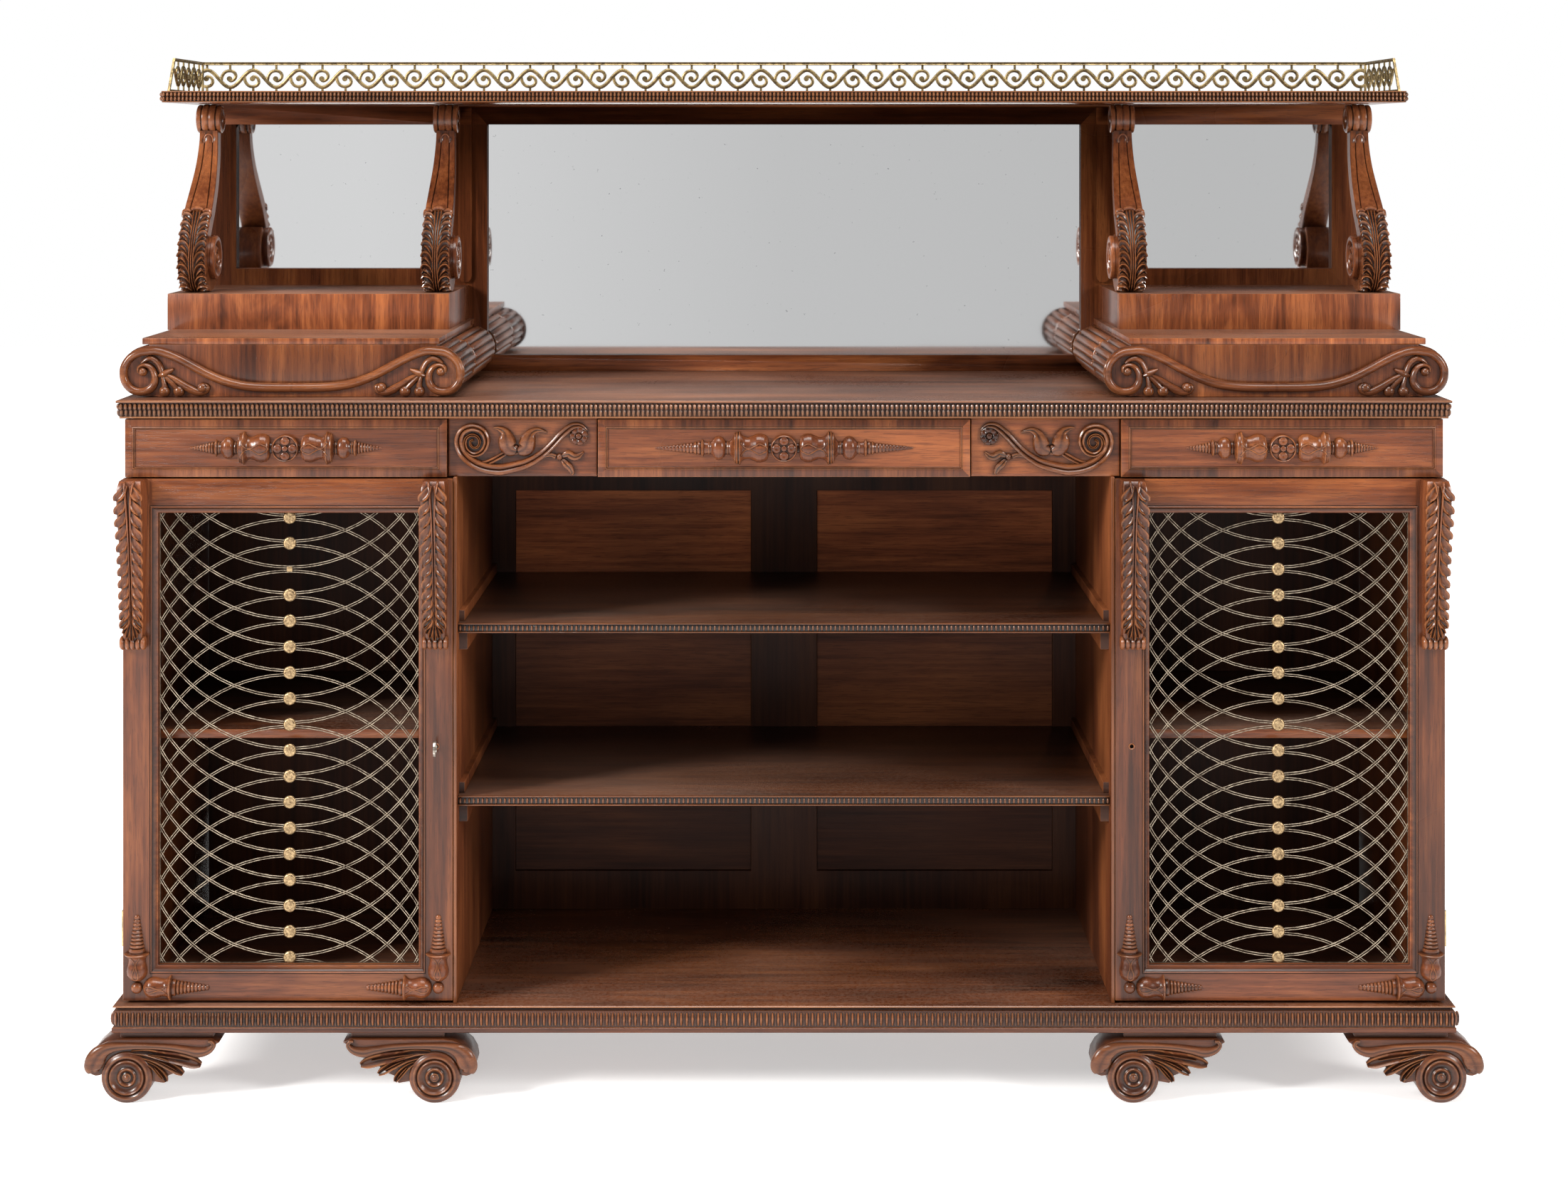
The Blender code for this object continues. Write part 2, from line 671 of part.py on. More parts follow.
def make_end(word, side, wood):
    x = span(side, END_INNER_X, DOOR_OUTER_X)
    shape = box(x, (CARCASS_FRONT_Y, CARCASS_BACK_Y), (CARCASS_BASE_Z, CARCASS_TOP_Z))
    origin = (side * DOOR_OUTER_X, CARCASS_FRONT_Y, CARCASS_BASE_Z)
    wall = add_node(f"end_panel_{word}", shape, wood, origin=origin)
    cut_from(wall, shelf_housing(side, END_INNER_X - CUT_MARGIN, END_INNER_X + SHELF_HOUSING))
    length = (FRONT_Y + CUPBOARD_SHELF_FRONT + BEARER_FRONT, BACK_FACE_Y - BEARER_SETBACK / 3)
    join_to(wall, bearer(side * END_INNER_X, -side, DUST_BASE_Z - SEAT_GAP, length))
    for middle in hinge_heights():
        pocket_y = (CARCASS_FRONT_Y - CUT_MARGIN, CARCASS_FRONT_Y + HINGE_LEAF_THICKNESS + SEAT_GAP)
        cut_from(wall, hinge_pocket(side, middle, pocket_y))


def make_back(wood):
    half = END_INNER_X - SEAT_GAP
    shape = box((-half, half), (BACK_FACE_Y, BACK_FACE_Y + BACK_THICKNESS), (CARCASS_BASE_Z, CARCASS_TOP_Z))
    back = add_node("back_panel", shape, wood, origin=(0, BACK_FACE_Y, CARCASS_BASE_Z))
    low = CARCASS_BASE_Z + BACK_BOTTOM_RAIL
    high = DUST_BASE_Z - BACK_TOP_RAIL
    inner = BACK_MUNTIN_WIDTH / 2
    outer = NICHE_HALF_WIDTH - BACK_STILE_WIDTH
    for side in (-1, 1):
        sunk = (BACK_FACE_Y - CUT_MARGIN, BACK_FACE_Y + BACK_PANEL_SINK)
        cut_from(back, box(span(side, inner, outer), sunk, (low, high)))


def make_shelves(wood, dark_wood):
    back = BACK_FACE_Y - SEAT_GAP
    half = NICHE_HALF_WIDTH - SEAT_GAP
    front = FRONT_Y + NICHE_SHELF_FRONT
    nose = NICHE_SHELF_THICKNESS / 4
    for word, top in (("upper", NICHE_UPPER_SHELF_TOP), ("lower", NICHE_LOWER_SHELF_TOP)):
        base = top - NICHE_SHELF_THICKNESS
        outline = [
            (back, base),
            (front + nose, base),
            (front, base + nose),
            (front, top - nose),
            (front + nose, top),
            (back, top),
        ]
        shelf = extruded(outline, "X", (-half, half))
        add_node(f"niche_shelf_{word}", shelf, wood, origin=(0, front, base))
    for word, side in (("left", -1), ("right", 1)):
        base = CUPBOARD_SHELF_TOP - CUPBOARD_SHELF_THICKNESS
        inner = PARTITION_OUTER_X - SHELF_HOUSING + SEAT_GAP
        x = span(side, inner, END_INNER_X + SHELF_HOUSING - SEAT_GAP)
        shape = box(x, (FRONT_Y + CUPBOARD_SHELF_FRONT, back), (base, CUPBOARD_SHELF_TOP))
        origin = (x[0], FRONT_Y + CUPBOARD_SHELF_FRONT, base)
        add_node(f"cupboard_shelf_{word}", shape, dark_wood, origin=origin)


def make_dust_board(wood):
    half = END_INNER_X - SEAT_GAP
    y = (DRAWER_FRONT_BACK_Y + SEAT_GAP, BACK_FACE_Y - SEAT_GAP)
    shape = box((-half, half), y, (DUST_BASE_Z, DUST_TOP_Z))
    add_node("dust_board", shape, wood, origin=(0, y[0], DUST_BASE_Z))


def make_frieze(word, side, wood):
    """A carved panel between two drawers, with the two walls behind it that guide the drawers."""
    inner = CENTRE_DRAWER_HALF + DRAWER_SIDE_GAP
    outer = SIDE_DRAWER_INNER - DRAWER_SIDE_GAP
    face = FRONT_Y + FRIEZE_SETBACK
    behind = face + FRIEZE_THICKNESS
    back = BACK_FACE_Y - SEAT_GAP
    front_z = (FRIEZE_BASE_Z, CARCASS_TOP_Z)
    outline = [
        (inner, DRAWER_FRONT_BACK_Y),
        (inner, back),
        (inner + DIVIDER_THICKNESS, back),
        (inner + DIVIDER_THICKNESS, behind),
        (outer - DIVIDER_THICKNESS, behind),
        (outer - DIVIDER_THICKNESS, back),
        (outer, back),
        (outer, DRAWER_FRONT_BACK_Y),
    ]
    shape = extruded(both_ways(outline, side), "Z", (DUST_TOP_Z + SEAT_GAP, CARCASS_TOP_Z))
    panel = add_node(f"frieze_panel_{word}", shape, wood, origin=(side * inner, face, FRIEZE_BASE_Z))
    join_to(panel, box(span(side, inner, outer), (face, DRAWER_FRONT_BACK_Y + HAIR), front_z))
    centre = (side * (outer - VOLUTE_RADIUS - VOLUTE_MARGIN), FRIEZE_BASE_Z + VOLUTE_HEIGHT)
    line = []
    turns = 12
    for i in range(turns + 1):
        share = i / turns
        angle = math.radians(360 + 90 - 450 * share)
        reach = VOLUTE_RADIUS * (0.25 + 0.75 * share)
        line.append((centre[0] - side * reach * math.cos(angle), centre[1] + reach * math.sin(angle)))
    stem = [(0.026, -0.036), (0.058, -0.038), (0.105, -0.008), (0.128, 0.016), (0.146, 0.016)]
    for u, v in smooth_line([(0.0, -VOLUTE_RADIUS), *stem], 2)[1:]:
        line.append((centre[0] - side * u, centre[1] + v))

    def section(t):
        width = STEM_WIDTH * (1 + 0.25 * math.sin(math.pi * t))
        root = face + 1.5 * JOINT_OVERLAP
        crest = face - STEM_RELIEF
        return [(-width, root), (-width / 2, crest), (width / 2, crest), (width, root)]

    join_to(panel, swept(line, section, "Y"))
    rose = (centre[0] - side * ROSE_REACH, face, centre[1] + ROSE_RISE)
    petals = (
        (0.0, -STEM_RELIEF - 0.001),
        (ROSE_RADIUS * 0.6, -STEM_RELIEF),
        (ROSE_RADIUS, JOINT_OVERLAP),
        (0.0, JOINT_OVERLAP),
    )
    join_to(panel, turned(petals, rose, "Y", 8))


# Hinges and locks
def hinge_heights():
    return DOOR_BASE_Z + HINGE_END_DISTANCE, DOOR_TOP_Z - HINGE_END_DISTANCE


def hinge_pocket(side, middle, y):
    inner = DOOR_OUTER_X - HINGE_LEAF_WIDTH - SEAT_GAP
    half = HINGE_LENGTH / 2 + SEAT_GAP
    return box(span(side, inner, DOOR_OUTER_X + CUT_MARGIN), y, (middle - half, middle + half))


def make_hinge(word, side, place, middle, brass, door_axis):
    """A butt hinge: the carcass leaf carries the pin and two knuckles, the door leaf the third."""
    third = HINGE_LENGTH / 3
    low = middle - HINGE_LENGTH / 2
    high = middle + HINGE_LENGTH / 2
    axis_point = (side * HINGE_X, HINGE_Y, 0.0)
    leaf_x = span(side, DOOR_OUTER_X - HINGE_LEAF_WIDTH, DOOR_OUTER_X)
    tongue_x = span(side, DOOR_OUTER_X - JOINT_OVERLAP, HINGE_X)
    fixed_y = (CARCASS_FRONT_Y, CARCASS_FRONT_Y + HINGE_LEAF_THICKNESS)
    leaf = box(leaf_x, fixed_y, (low, high))
    fixed = add_node(f"hinge_{place}_{word}_carcass_leaf", leaf, brass, origin=(*axis_point[:2], middle))
    for start, end in ((low, low + third), (high - third, high)):
        tongue = box(tongue_x, (fixed_y[0] + HAIR, fixed_y[1] - HAIR), (start + HAIR, end - HAIR))
        join_to(fixed, tongue)
        join_to(fixed, cylinder(axis_point, "Z", KNUCKLE_RADIUS, (start, end), 12))
    join_to(fixed, cylinder(axis_point, "Z", HINGE_PIN_RADIUS, (low + 0.001, high - 0.001), 12))
    moving_y = (DOOR_BACK_Y - HINGE_LEAF_THICKNESS, DOOR_BACK_Y)
    moving = add_node(
        f"hinge_{place}_{word}_door_leaf",
        box(leaf_x, moving_y, (low, high)),
        brass,
        origin=(*axis_point[:2], middle),
        parent=door_axis,
    )
    start = low + third + SEAT_GAP
    end = high - third - SEAT_GAP
    tongue = box(tongue_x, (moving_y[0] + HAIR, moving_y[1] - HAIR), (start + HAIR, end - HAIR))
    join_to(moving, tongue)
    join_to(moving, cylinder(axis_point, "Z", KNUCKLE_RADIUS, (start, end), 12))
    bore = (start - CUT_MARGIN, end + CUT_MARGIN)
    cut_from(moving, cylinder(axis_point, "Z", HINGE_PIN_RADIUS + PIN_GAP, bore, 12))


def make_lock(word, side, brass, steel, door_axis):
    z = (LOCK_HEIGHT - BOLT_HEIGHT / 2, LOCK_HEIGHT + BOLT_HEIGHT / 2)
    x = span(side, DOOR_INNER_X, DOOR_INNER_X + BOLT_LENGTH)
    bolt = box(x, (BOLT_Y, BOLT_Y + BOLT_THICKNESS), z)
    add_node(f"lock_bolt_{word}", bolt, brass, origin=(x[0], BOLT_Y, LOCK_HEIGHT), parent=door_axis)
    if side > 0:
        return
    place = (side * LOCK_X, FRONT_Y, LOCK_HEIGHT)
    turn = add_axis("key_axis", place)
    turn.parent = door_axis
    turn.matrix_parent_inverse = Matrix.Translation(-door_axis.location)
    reach = KEY_REACH - 2 * KEY_BOW_RADIUS
    shaft = cylinder(place, "Y", KEY_SHAFT_RADIUS, (-reach - JOINT_OVERLAP, BOLT_DEPTH - SEAT_GAP), 10)
    key = add_node("key", shaft, steel, origin=place, parent=turn)
    middle = FRONT_Y - KEY_REACH + KEY_BOW_RADIUS
    outer = arc((middle, LOCK_HEIGHT), KEY_BOW_RADIUS, 0, 360, 12)[:-1]
    inner = arc((middle, LOCK_HEIGHT), KEY_BOW_RADIUS * 0.6, 0, 360, 12)[:-1]
    half = KEY_BOW_THICKNESS / 2
    rings = []
    for ring, x_place in ((outer, -half), (outer, half), (inner, half), (inner, -half)):
        rings.append([Vector((place[0] + x_place, u, v)) for u, v in ring])
    join_to(key, lofted(rings, closed=True))


# Doors
def door_rectangle(side, inset, y):
    """A rectangle set in from the door's four edges by the same amount."""
    inner = side * (DOOR_INNER_X + inset)
    outer = side * (DOOR_OUTER_X - inset)
    low = DOOR_BASE_Z + inset
    high = DOOR_TOP_Z - inset
    return [
        Vector((inner, y, low)),
        Vector((outer, y, low)),
        Vector((outer, y, high)),
        Vector((inner, y, high)),
    ]


def make_door_frame(word, side, wood, door_axis):
    rebate = DOOR_RAIL - GRILLE_REBATE
    profile = (
        (0.0, DOOR_BACK_Y),
        (0.0, FRONT_Y),
        (DOOR_RAIL - DOOR_MOULDING, FRONT_Y),
        (DOOR_RAIL, FRONT_Y + DOOR_MOULDING_SINK),
        (DOOR_RAIL, FRONT_Y + DOOR_LIP_DEPTH),
        (rebate, FRONT_Y + DOOR_LIP_DEPTH),
        (rebate, DOOR_BACK_Y),
    )
    shape = lofted([door_rectangle(side, inset, y) for inset, y in profile], closed=True)
    frame = add_node(
        f"door_frame_{word}", shape, wood, origin=(side * HINGE_X, HINGE_Y, DOOR_BASE_Z), parent=door_axis
    )
    for middle in hinge_heights():
        pocket_y = (DOOR_BACK_Y - HINGE_LEAF_THICKNESS - SEAT_GAP, DOOR_BACK_Y + CUT_MARGIN)
        cut_from(frame, hinge_pocket(side, middle, pocket_y))
    slot_x = span(side, DOOR_INNER_X - CUT_MARGIN, DOOR_INNER_X + BOLT_LENGTH + BOLT_GAP)
    slot_y = (BOLT_Y - BOLT_GAP, BOLT_Y + BOLT_THICKNESS + BOLT_GAP)
    slot_z = (LOCK_HEIGHT - BOLT_HEIGHT / 2 - BOLT_GAP, LOCK_HEIGHT + BOLT_HEIGHT / 2 + BOLT_GAP)
    cut_from(frame, box(slot_x, slot_y, slot_z))
    keyhole = (side * LOCK_X, FRONT_Y, LOCK_HEIGHT)
    cut_from(frame, cylinder(keyhole, "Y", KEY_HOLE_RADIUS, (-CUT_MARGIN, BOLT_DEPTH), 10))
    add_finials(frame, side)


def add_finials(frame, side):
    """Two half-round carved finials and a ball in each lower corner of the door."""
    radius = FINIAL_RADIUS
    start = FINIAL_BALL_RADIUS + JOINT_OVERLAP
    length = FINIAL_LENGTH
    stations = (
        (start, radius * 0.55),
        (start + length * 0.20, radius),
        (start + length * 0.38, radius * 0.65),
        (start + length * 0.42, radius * 1.05),
        (start + length * 0.48, radius * 0.75),
        (start + length, radius * 0.2),
    )
    face = FRONT_Y + JOINT_OVERLAP / 2
    height = DOOR_BASE_Z + FINIAL_INSET_BOTTOM
    corners = ((DOOR_OUTER_X - FINIAL_INSET_SIDE, -side), (DOOR_INNER_X + FINIAL_INSET_SIDE, side))
    for x, inward in corners:
        place = (side * x, face, height)
        join_to(frame, half_round_loft(stations, place, (0.0, 0.0, 1.0), FINIAL_DEPTH_RATIO, 4))
        join_to(frame, half_round_loft(stations, place, (float(inward), 0.0, 0.0), FINIAL_DEPTH_RATIO, 4))


def make_grille(word, side, brass, door_axis):
    """A brass border that holds two layers of bent strips, pinned together by rosettes."""
    border_front = FRONT_Y + DOOR_LIP_DEPTH + SEAT_GAP
    border_back = border_front + GRILLE_BORDER_THICKNESS
    outside = DOOR_RAIL - GRILLE_REBATE + SEAT_GAP
    inside = DOOR_RAIL + 2 * HAIR
    profile = (
        (outside, border_back),
        (outside, border_front),
        (inside, border_front),
        (inside, border_back),
    )
    shape = lofted([door_rectangle(side, inset, y) for inset, y in profile], closed=True)
    origin = (side * HINGE_X, HINGE_Y, DOOR_BASE_Z)
    grille = add_node(f"grille_{word}", shape, brass, origin=origin, parent=door_axis)
    middle_x = side * (DOOR_INNER_X + DOOR_OUTER_X) / 2
    hold = (outside + inside) / 2
    half_width = DOOR_WIDTH / 2 - hold
    low = DOOR_BASE_Z + hold
    high = DOOR_TOP_Z - hold
    middle_z = (low + high) / 2
    count = int((high - low) / LATTICE_PITCH) + 1
    layer_inset = (GRILLE_BORDER_THICKNESS - 2 * LATTICE_THICKNESS - SEAT_GAP) / 2
    layer = border_front + layer_inset
    reach = LATTICE_RADIUS - math.sqrt(LATTICE_RADIUS**2 - half_width**2)
    spare = int(reach / LATTICE_PITCH) + 1
    for up, front in ((1, layer), (-1, layer + LATTICE_THICKNESS + SEAT_GAP)):
        strips = bmesh.new()
        for i in range(-spare, count + spare):
            node = middle_z + (i - (count - 1) / 2) * LATTICE_PITCH
            for path in lattice_paths(middle_x, node, up, half_width, low, high):
                add_strip(strips, path, front, up)
        join_to(grille, tidy(strips))
    pins = bmesh.new()
    root = layer_inset + LATTICE_THICKNESS * 0.7
    rosette = ((0.0, -ROSETTE_FRONT), (ROSETTE_RADIUS, layer_inset - HAIR), (0.0, root))
    for i in range(count):
        node = middle_z + (i - (count - 1) / 2) * LATTICE_PITCH
        if not low + ROSETTE_RADIUS < node < high - ROSETTE_RADIUS:
            continue
        merge_into(pins, turned(rosette, (middle_x, border_front, node), "Y", 5))
    join_to(grille, pins)


def merge_into(target, shape):
    """Adds a closed shape to another bmesh; the two must not touch."""
    mesh = bpy.data.meshes.new("scratch")
    shape.to_mesh(mesh)
    shape.free()
    target.from_mesh(mesh)
    bpy.data.meshes.remove(mesh)


def lattice_paths(middle_x, node, up, half_width, low, high):
    """The parts of one bent strip that lie inside the border: a circular arc touching at node."""
    radius = LATTICE_RADIUS
    widest = math.asin(half_width / radius)
    reach_in = 0.0
    reach_out = widest
    if up > 0:
        floor_rise, ceiling_rise = low - node, high - node
    else:
        floor_rise, ceiling_rise = node - high, node - low
    if ceiling_rise <= 0:
        return []
    if floor_rise > 0:
        if floor_rise >= radius * (1 - math.cos(widest)):
            return []
        reach_in = math.acos(1 - floor_rise / radius)
    if ceiling_rise < radius * (1 - math.cos(widest)):
        reach_out = math.acos(1 - ceiling_rise / radius)
    if reach_out - reach_in < LATTICE_SHORTEST:
        return []
    spans = [(reach_in, reach_out), (-reach_out, -reach_in)] if reach_in > 0 else [(-reach_out, reach_out)]
    paths = []
    for start, end in spans:
        steps = max(1, round((end - start) / LATTICE_STEP))
        if start < 0 < end:
            steps += steps % 2
        path = []
        for i in range(steps + 1):
            angle = start + (end - start) * i / steps
            rise = radius * (1 - math.cos(angle))
            path.append((middle_x + radius * math.sin(angle), node + up * rise))
        paths.append(path)
    return paths


def add_strip(strips, path, front, up):
    half = LATTICE_WIDTH / 2
    back = front + LATTICE_THICKNESS
    if up > 0:
        section = [(-half, back), (0.0, front), (half, back)]
    else:
        section = [(-half, front), (0.0, back), (half, front)]
    merge_into(strips, swept(path, lambda t: section, "Y"))


def make_corbel(name, x, wood, door_axis):
    """A leaf-carved console that bulges at its top and ends in a small scroll."""
    back = FRONT_Y - SEAT_GAP
    top = DOOR_TOP_Z
    stations = (
        (0.00, 0.94, 0.60),
        (0.03, 1.00, 0.92),
        (0.10, 1.00, 1.00),
        (0.22, 0.97, 0.90),
        (0.38, 0.90, 0.58),
        (0.58, 0.84, 0.38),
        (0.80, 0.78, 0.36),
        (0.92, 0.80, 0.52),
        (0.96, 0.78, 0.52),
        (1.00, 0.76, 0.26),
    )
    taper = CORBEL_BOTTOM_WIDTH / CORBEL_TOP_WIDTH
    rings = []
    for share, widen, out in stations:
        half = CORBEL_TOP_WIDTH / 2 * max(widen, taper)
        depth = CORBEL_PROJECTION * out
        z = top - CORBEL_HEIGHT * share
        rings.append(
            [
                Vector((x - half, back, z)),
                Vector((x - half, back - depth * 0.7, z)),
                Vector((x - half * 0.5, back - depth, z)),
                Vector((x + half * 0.5, back - depth, z)),
                Vector((x + half, back - depth * 0.7, z)),
                Vector((x + half, back, z)),
            ]
        )
    add_node(name, lofted(rings), wood, origin=(x, back, top), parent=door_axis)


def make_door(word, side, woods, brasses, steel):
    wood, carved = woods
    lattice_brass, hinge_brass = brasses
    door_axis = add_axis(f"door_axis_{word}", (side * HINGE_X, HINGE_Y, DOOR_BASE_Z))
    make_door_frame(word, side, wood, door_axis)
    make_grille(word, side, lattice_brass, door_axis)
    outer_x = side * (DOOR_OUTER_X + CORBEL_OVERHANG - CORBEL_TOP_WIDTH / 2)
    inner_x = side * (DOOR_INNER_X + CORBEL_INNER_INSET + CORBEL_TOP_WIDTH / 2)
    make_corbel(f"corbel_outer_{word}", outer_x, carved, door_axis)
    make_corbel(f"corbel_inner_{word}", inner_x, carved, door_axis)
    for place, middle in zip(("lower", "upper"), hinge_heights()):
        make_hinge(word, side, place, middle, hinge_brass, door_axis)
    make_lock(word, side, hinge_brass, steel, door_axis)


# Drawers
def make_drawer(name, front_x, box_x, wood, slide_axis):
    """An open box behind a front with a sunk, moulded field."""
    low, high = sorted(front_x)
    rings = []
    levels = (
        (0.0, DRAWER_FRONT_BACK_Y),
        (0.0, FRONT_Y),
        (DRAWER_PANEL_INSET, FRONT_Y),
        (DRAWER_PANEL_INSET + DRAWER_PANEL_SINK, FRONT_Y + DRAWER_PANEL_SINK),
    )
    for inset, y in levels:
        rings.append(
            [
                Vector((low + inset, y, FRIEZE_BASE_Z + inset)),
                Vector((high - inset, y, FRIEZE_BASE_Z + inset)),
                Vector((high - inset, y, FRIEZE_TOP_Z - inset)),
                Vector((low + inset, y, FRIEZE_TOP_Z - inset)),
            ]
        )
    middle = (low + high) / 2
    drawer = add_node(name, lofted(rings), wood, origin=(middle, FRONT_Y, FRIEZE_BASE_Z), parent=slide_axis)
    x0, x1 = sorted(box_x)
    base = DUST_TOP_Z + DRAWER_RUN_GAP
    top = base + DRAWER_BOX_HEIGHT
    back = DRAWER_FRONT_BACK_Y + DRAWER_BOX_DEPTH
    join_to(drawer, box((x0, x1), (DRAWER_FRONT_BACK_Y - JOINT_OVERLAP, back), (base, top)))
    inside_x = (x0 + DRAWER_WALL, x1 - DRAWER_WALL)
    inside_y = (DRAWER_FRONT_BACK_Y, back - DRAWER_WALL)
    cut_from(drawer, box(inside_x, inside_y, (base + DRAWER_BOTTOM, top + CUT_MARGIN)))


def make_handle(name, x, length, wood, slide_axis):
    """A carved double finial, tapering from a centre rosette to a ringed cone at each end."""
    half = length / 2
    radius = HANDLE_RADIUS
    one_side = (
        (1.00, 0.08),
        (0.72, 0.42),
        (0.70, 0.60),
        (0.645, 0.58),
        (0.615, 0.42),
        (0.52, 0.80),
        (0.44, 0.45),
        (0.395, 0.50),
        (0.375, 1.00),
        (0.340, 1.00),
        (0.320, 0.60),
        (0.22, 0.85),
        (0.12, 0.40),
        (0.09, 0.75),
    )
    stations = [(-half * place, radius * share) for place, share in one_side]
    stations += [(half * place, radius * share) for place, share in reversed(one_side)]
    middle_z = (FRIEZE_BASE_Z + FRIEZE_TOP_Z) / 2
    place = (x, FRONT_Y + DRAWER_PANEL_SINK - SEAT_GAP, middle_z)
    shape = half_round_loft(stations, place, (1.0, 0.0, 0.0), HANDLE_DEPTH_RATIO, 5)
    add_node(name, shape, wood, origin=place, parent=slide_axis)


def make_drawers(wood, carved):
    centre_half = CENTRE_DRAWER_HALF - DRAWER_BOX_GAP
    side_outer = DOOR_OUTER_X - SIDE_DRAWER_MARGIN
    box_outer = END_INNER_X - DRAWER_SIDE_GAP
    rows = (
        ("left", (-side_outer, -SIDE_DRAWER_INNER), (-box_outer, -SIDE_DRAWER_INNER), SIDE_HANDLE_LENGTH),
        ("centre", (-centre_half, centre_half), (-centre_half, centre_half), CENTRE_HANDLE_LENGTH),
        ("right", (SIDE_DRAWER_INNER, side_outer), (SIDE_DRAWER_INNER, box_outer), SIDE_HANDLE_LENGTH),
    )
    for word, front_x, box_x, handle_length in rows:
        middle = sum(front_x) / 2
        slide = add_axis(f"drawer_axis_{word}", (middle, FRONT_Y, FRIEZE_BASE_Z))
        make_drawer(f"drawer_{word}", front_x, box_x, wood, slide)
        make_handle(f"drawer_handle_{word}", middle, handle_length, carved, slide)


# Top slab
def beaded_levels(base, top, projection, bead):
    """A board edge with a half-round bead between two fillets."""
    height = top - base
    low = base + height * 0.18
    high = top - height * 0.14
    middle = (low + high) / 2
    radius = (high - low) / 2
    levels = [(base, projection - FILLET_SETBACK), (low - SEAT_GAP, projection - FILLET_SETBACK)]
    for angle in (-65, -25, 25, 65):
        turn = math.radians(angle)
        levels.append((middle + radius * math.sin(turn), bead - radius * 0.35 * (1 - math.cos(turn))))
    levels += [(high + SEAT_GAP, projection), (top, projection)]
    return levels


def make_slab(wood):
    levels = beaded_levels(SLAB_BASE_Z, SLAB_TOP_Z, SLAB_PROJECTION, SLAB_BEAD)
    shape = moulded_board(DOOR_OUTER_X, FRONT_Y, FRONT_Y + SLAB_BACK, levels)
    add_node("top_slab", shape, wood, origin=(0, 0, SLAB_BASE_Z))


# Scroll ends, pedestals and brackets
def reeded_outline(centre, radius):
    """A circle made of convex reeds."""
    points = []
    for i in range(REED_COUNT):
        for share, sink in ((0.0, 1.0), (0.33, 0.0), (0.67, 0.0)):
            angle = math.tau * (i + share) / REED_COUNT
            reach = radius - REED_DEPTH * sink
            points.append((centre[0] + reach * math.cos(angle), centre[1] + reach * math.sin(angle)))
    return points


def scroll_outline(side):
    """The front ornament: two round volutes with a lyre-shaped fall between them."""
    axis_z = BLOCK_BASE_Z + ROLLER_CAP_RADIUS
    base = BLOCK_BASE_Z + SEAT_GAP
    middle = (ROLLER_INNER_X + ROLLER_OUTER_X) / 2
    half = (ROLLER_OUTER_X - ROLLER_INNER_X) / 2
    top = axis_z + ROLLER_CAP_RADIUS
    dip = BLOCK_BASE_Z + SCROLL_DIP
    outline = arc((ROLLER_INNER_X, axis_z), ROLLER_CAP_RADIUS, -80, -270, 12)
    steps = 20
    for i in range(1, steps):
        x = ROLLER_INNER_X + 2 * half * i / steps
        share = abs(x - middle) / half
        rise = (0.5 - 0.5 * math.cos(math.pi * share)) ** SCROLL_FALL_POWER
        outline.append((x, dip + (top - dip) * rise))
    outline += arc((ROLLER_OUTER_X, axis_z), ROLLER_CAP_RADIUS, 90, -100, 12)
    outline.append((ROLLER_OUTER_X - ROLLER_CAP_RADIUS / 2, base))
    outline.append((ROLLER_INNER_X + ROLLER_CAP_RADIUS / 2, base))
    return both_ways(outline, side)


def make_scroll_end(word, side, wood):
    axis_z = BLOCK_BASE_Z + ROLLER_CAP_RADIUS
    plate_back = SCROLL_FACE_Y + SCROLL_PLATE_THICKNESS
    x = span(side, ROLLER_INNER_X, ROLLER_OUTER_X)
    shape = box(x, (plate_back - JOINT_OVERLAP / 2, UPPER_BACK_Y), (BLOCK_BASE_Z, BLOCK_TOP_Z))
    origin = (side * ROLLER_INNER_X, SCROLL_FACE_Y, BLOCK_BASE_Z)
    block = add_node(f"scroll_end_{word}", shape, wood, origin=origin)
    for x in (ROLLER_INNER_X, ROLLER_OUTER_X):
        outline = reeded_outline((side * x, axis_z), ROLLER_RADIUS)
        join_to(block, extruded(outline, "Y", (plate_back - JOINT_OVERLAP, UPPER_BACK_Y - HAIR)))
    join_to(block, extruded(scroll_outline(side), "Y", (SCROLL_FACE_Y, plate_back)))


def make_pedestal(word, side, wood):
    """A step board with a square-edged box on its back half."""
    outer = ROLLER_OUTER_X + STEP_SIDE
    outline = [
        (FRONT_Y + STEP_FRONT, STEP_BASE_Z),
        (UPPER_BACK_Y, STEP_BASE_Z),
        (UPPER_BACK_Y, BOX_TOP_Z),
        (FRONT_Y + BOX_FRONT, BOX_TOP_Z),
        (FRONT_Y + BOX_FRONT, STEP_TOP_Z),
        (FRONT_Y + STEP_FRONT, STEP_TOP_Z),
    ]
    shape = extruded(outline, "X", span(side, ROLLER_INNER_X + BOX_INSET, outer))
    origin = (side * ROLLER_INNER_X, FRONT_Y + STEP_FRONT, STEP_BASE_Z)
    add_node(f"pedestal_{word}", shape, wood, origin=origin)


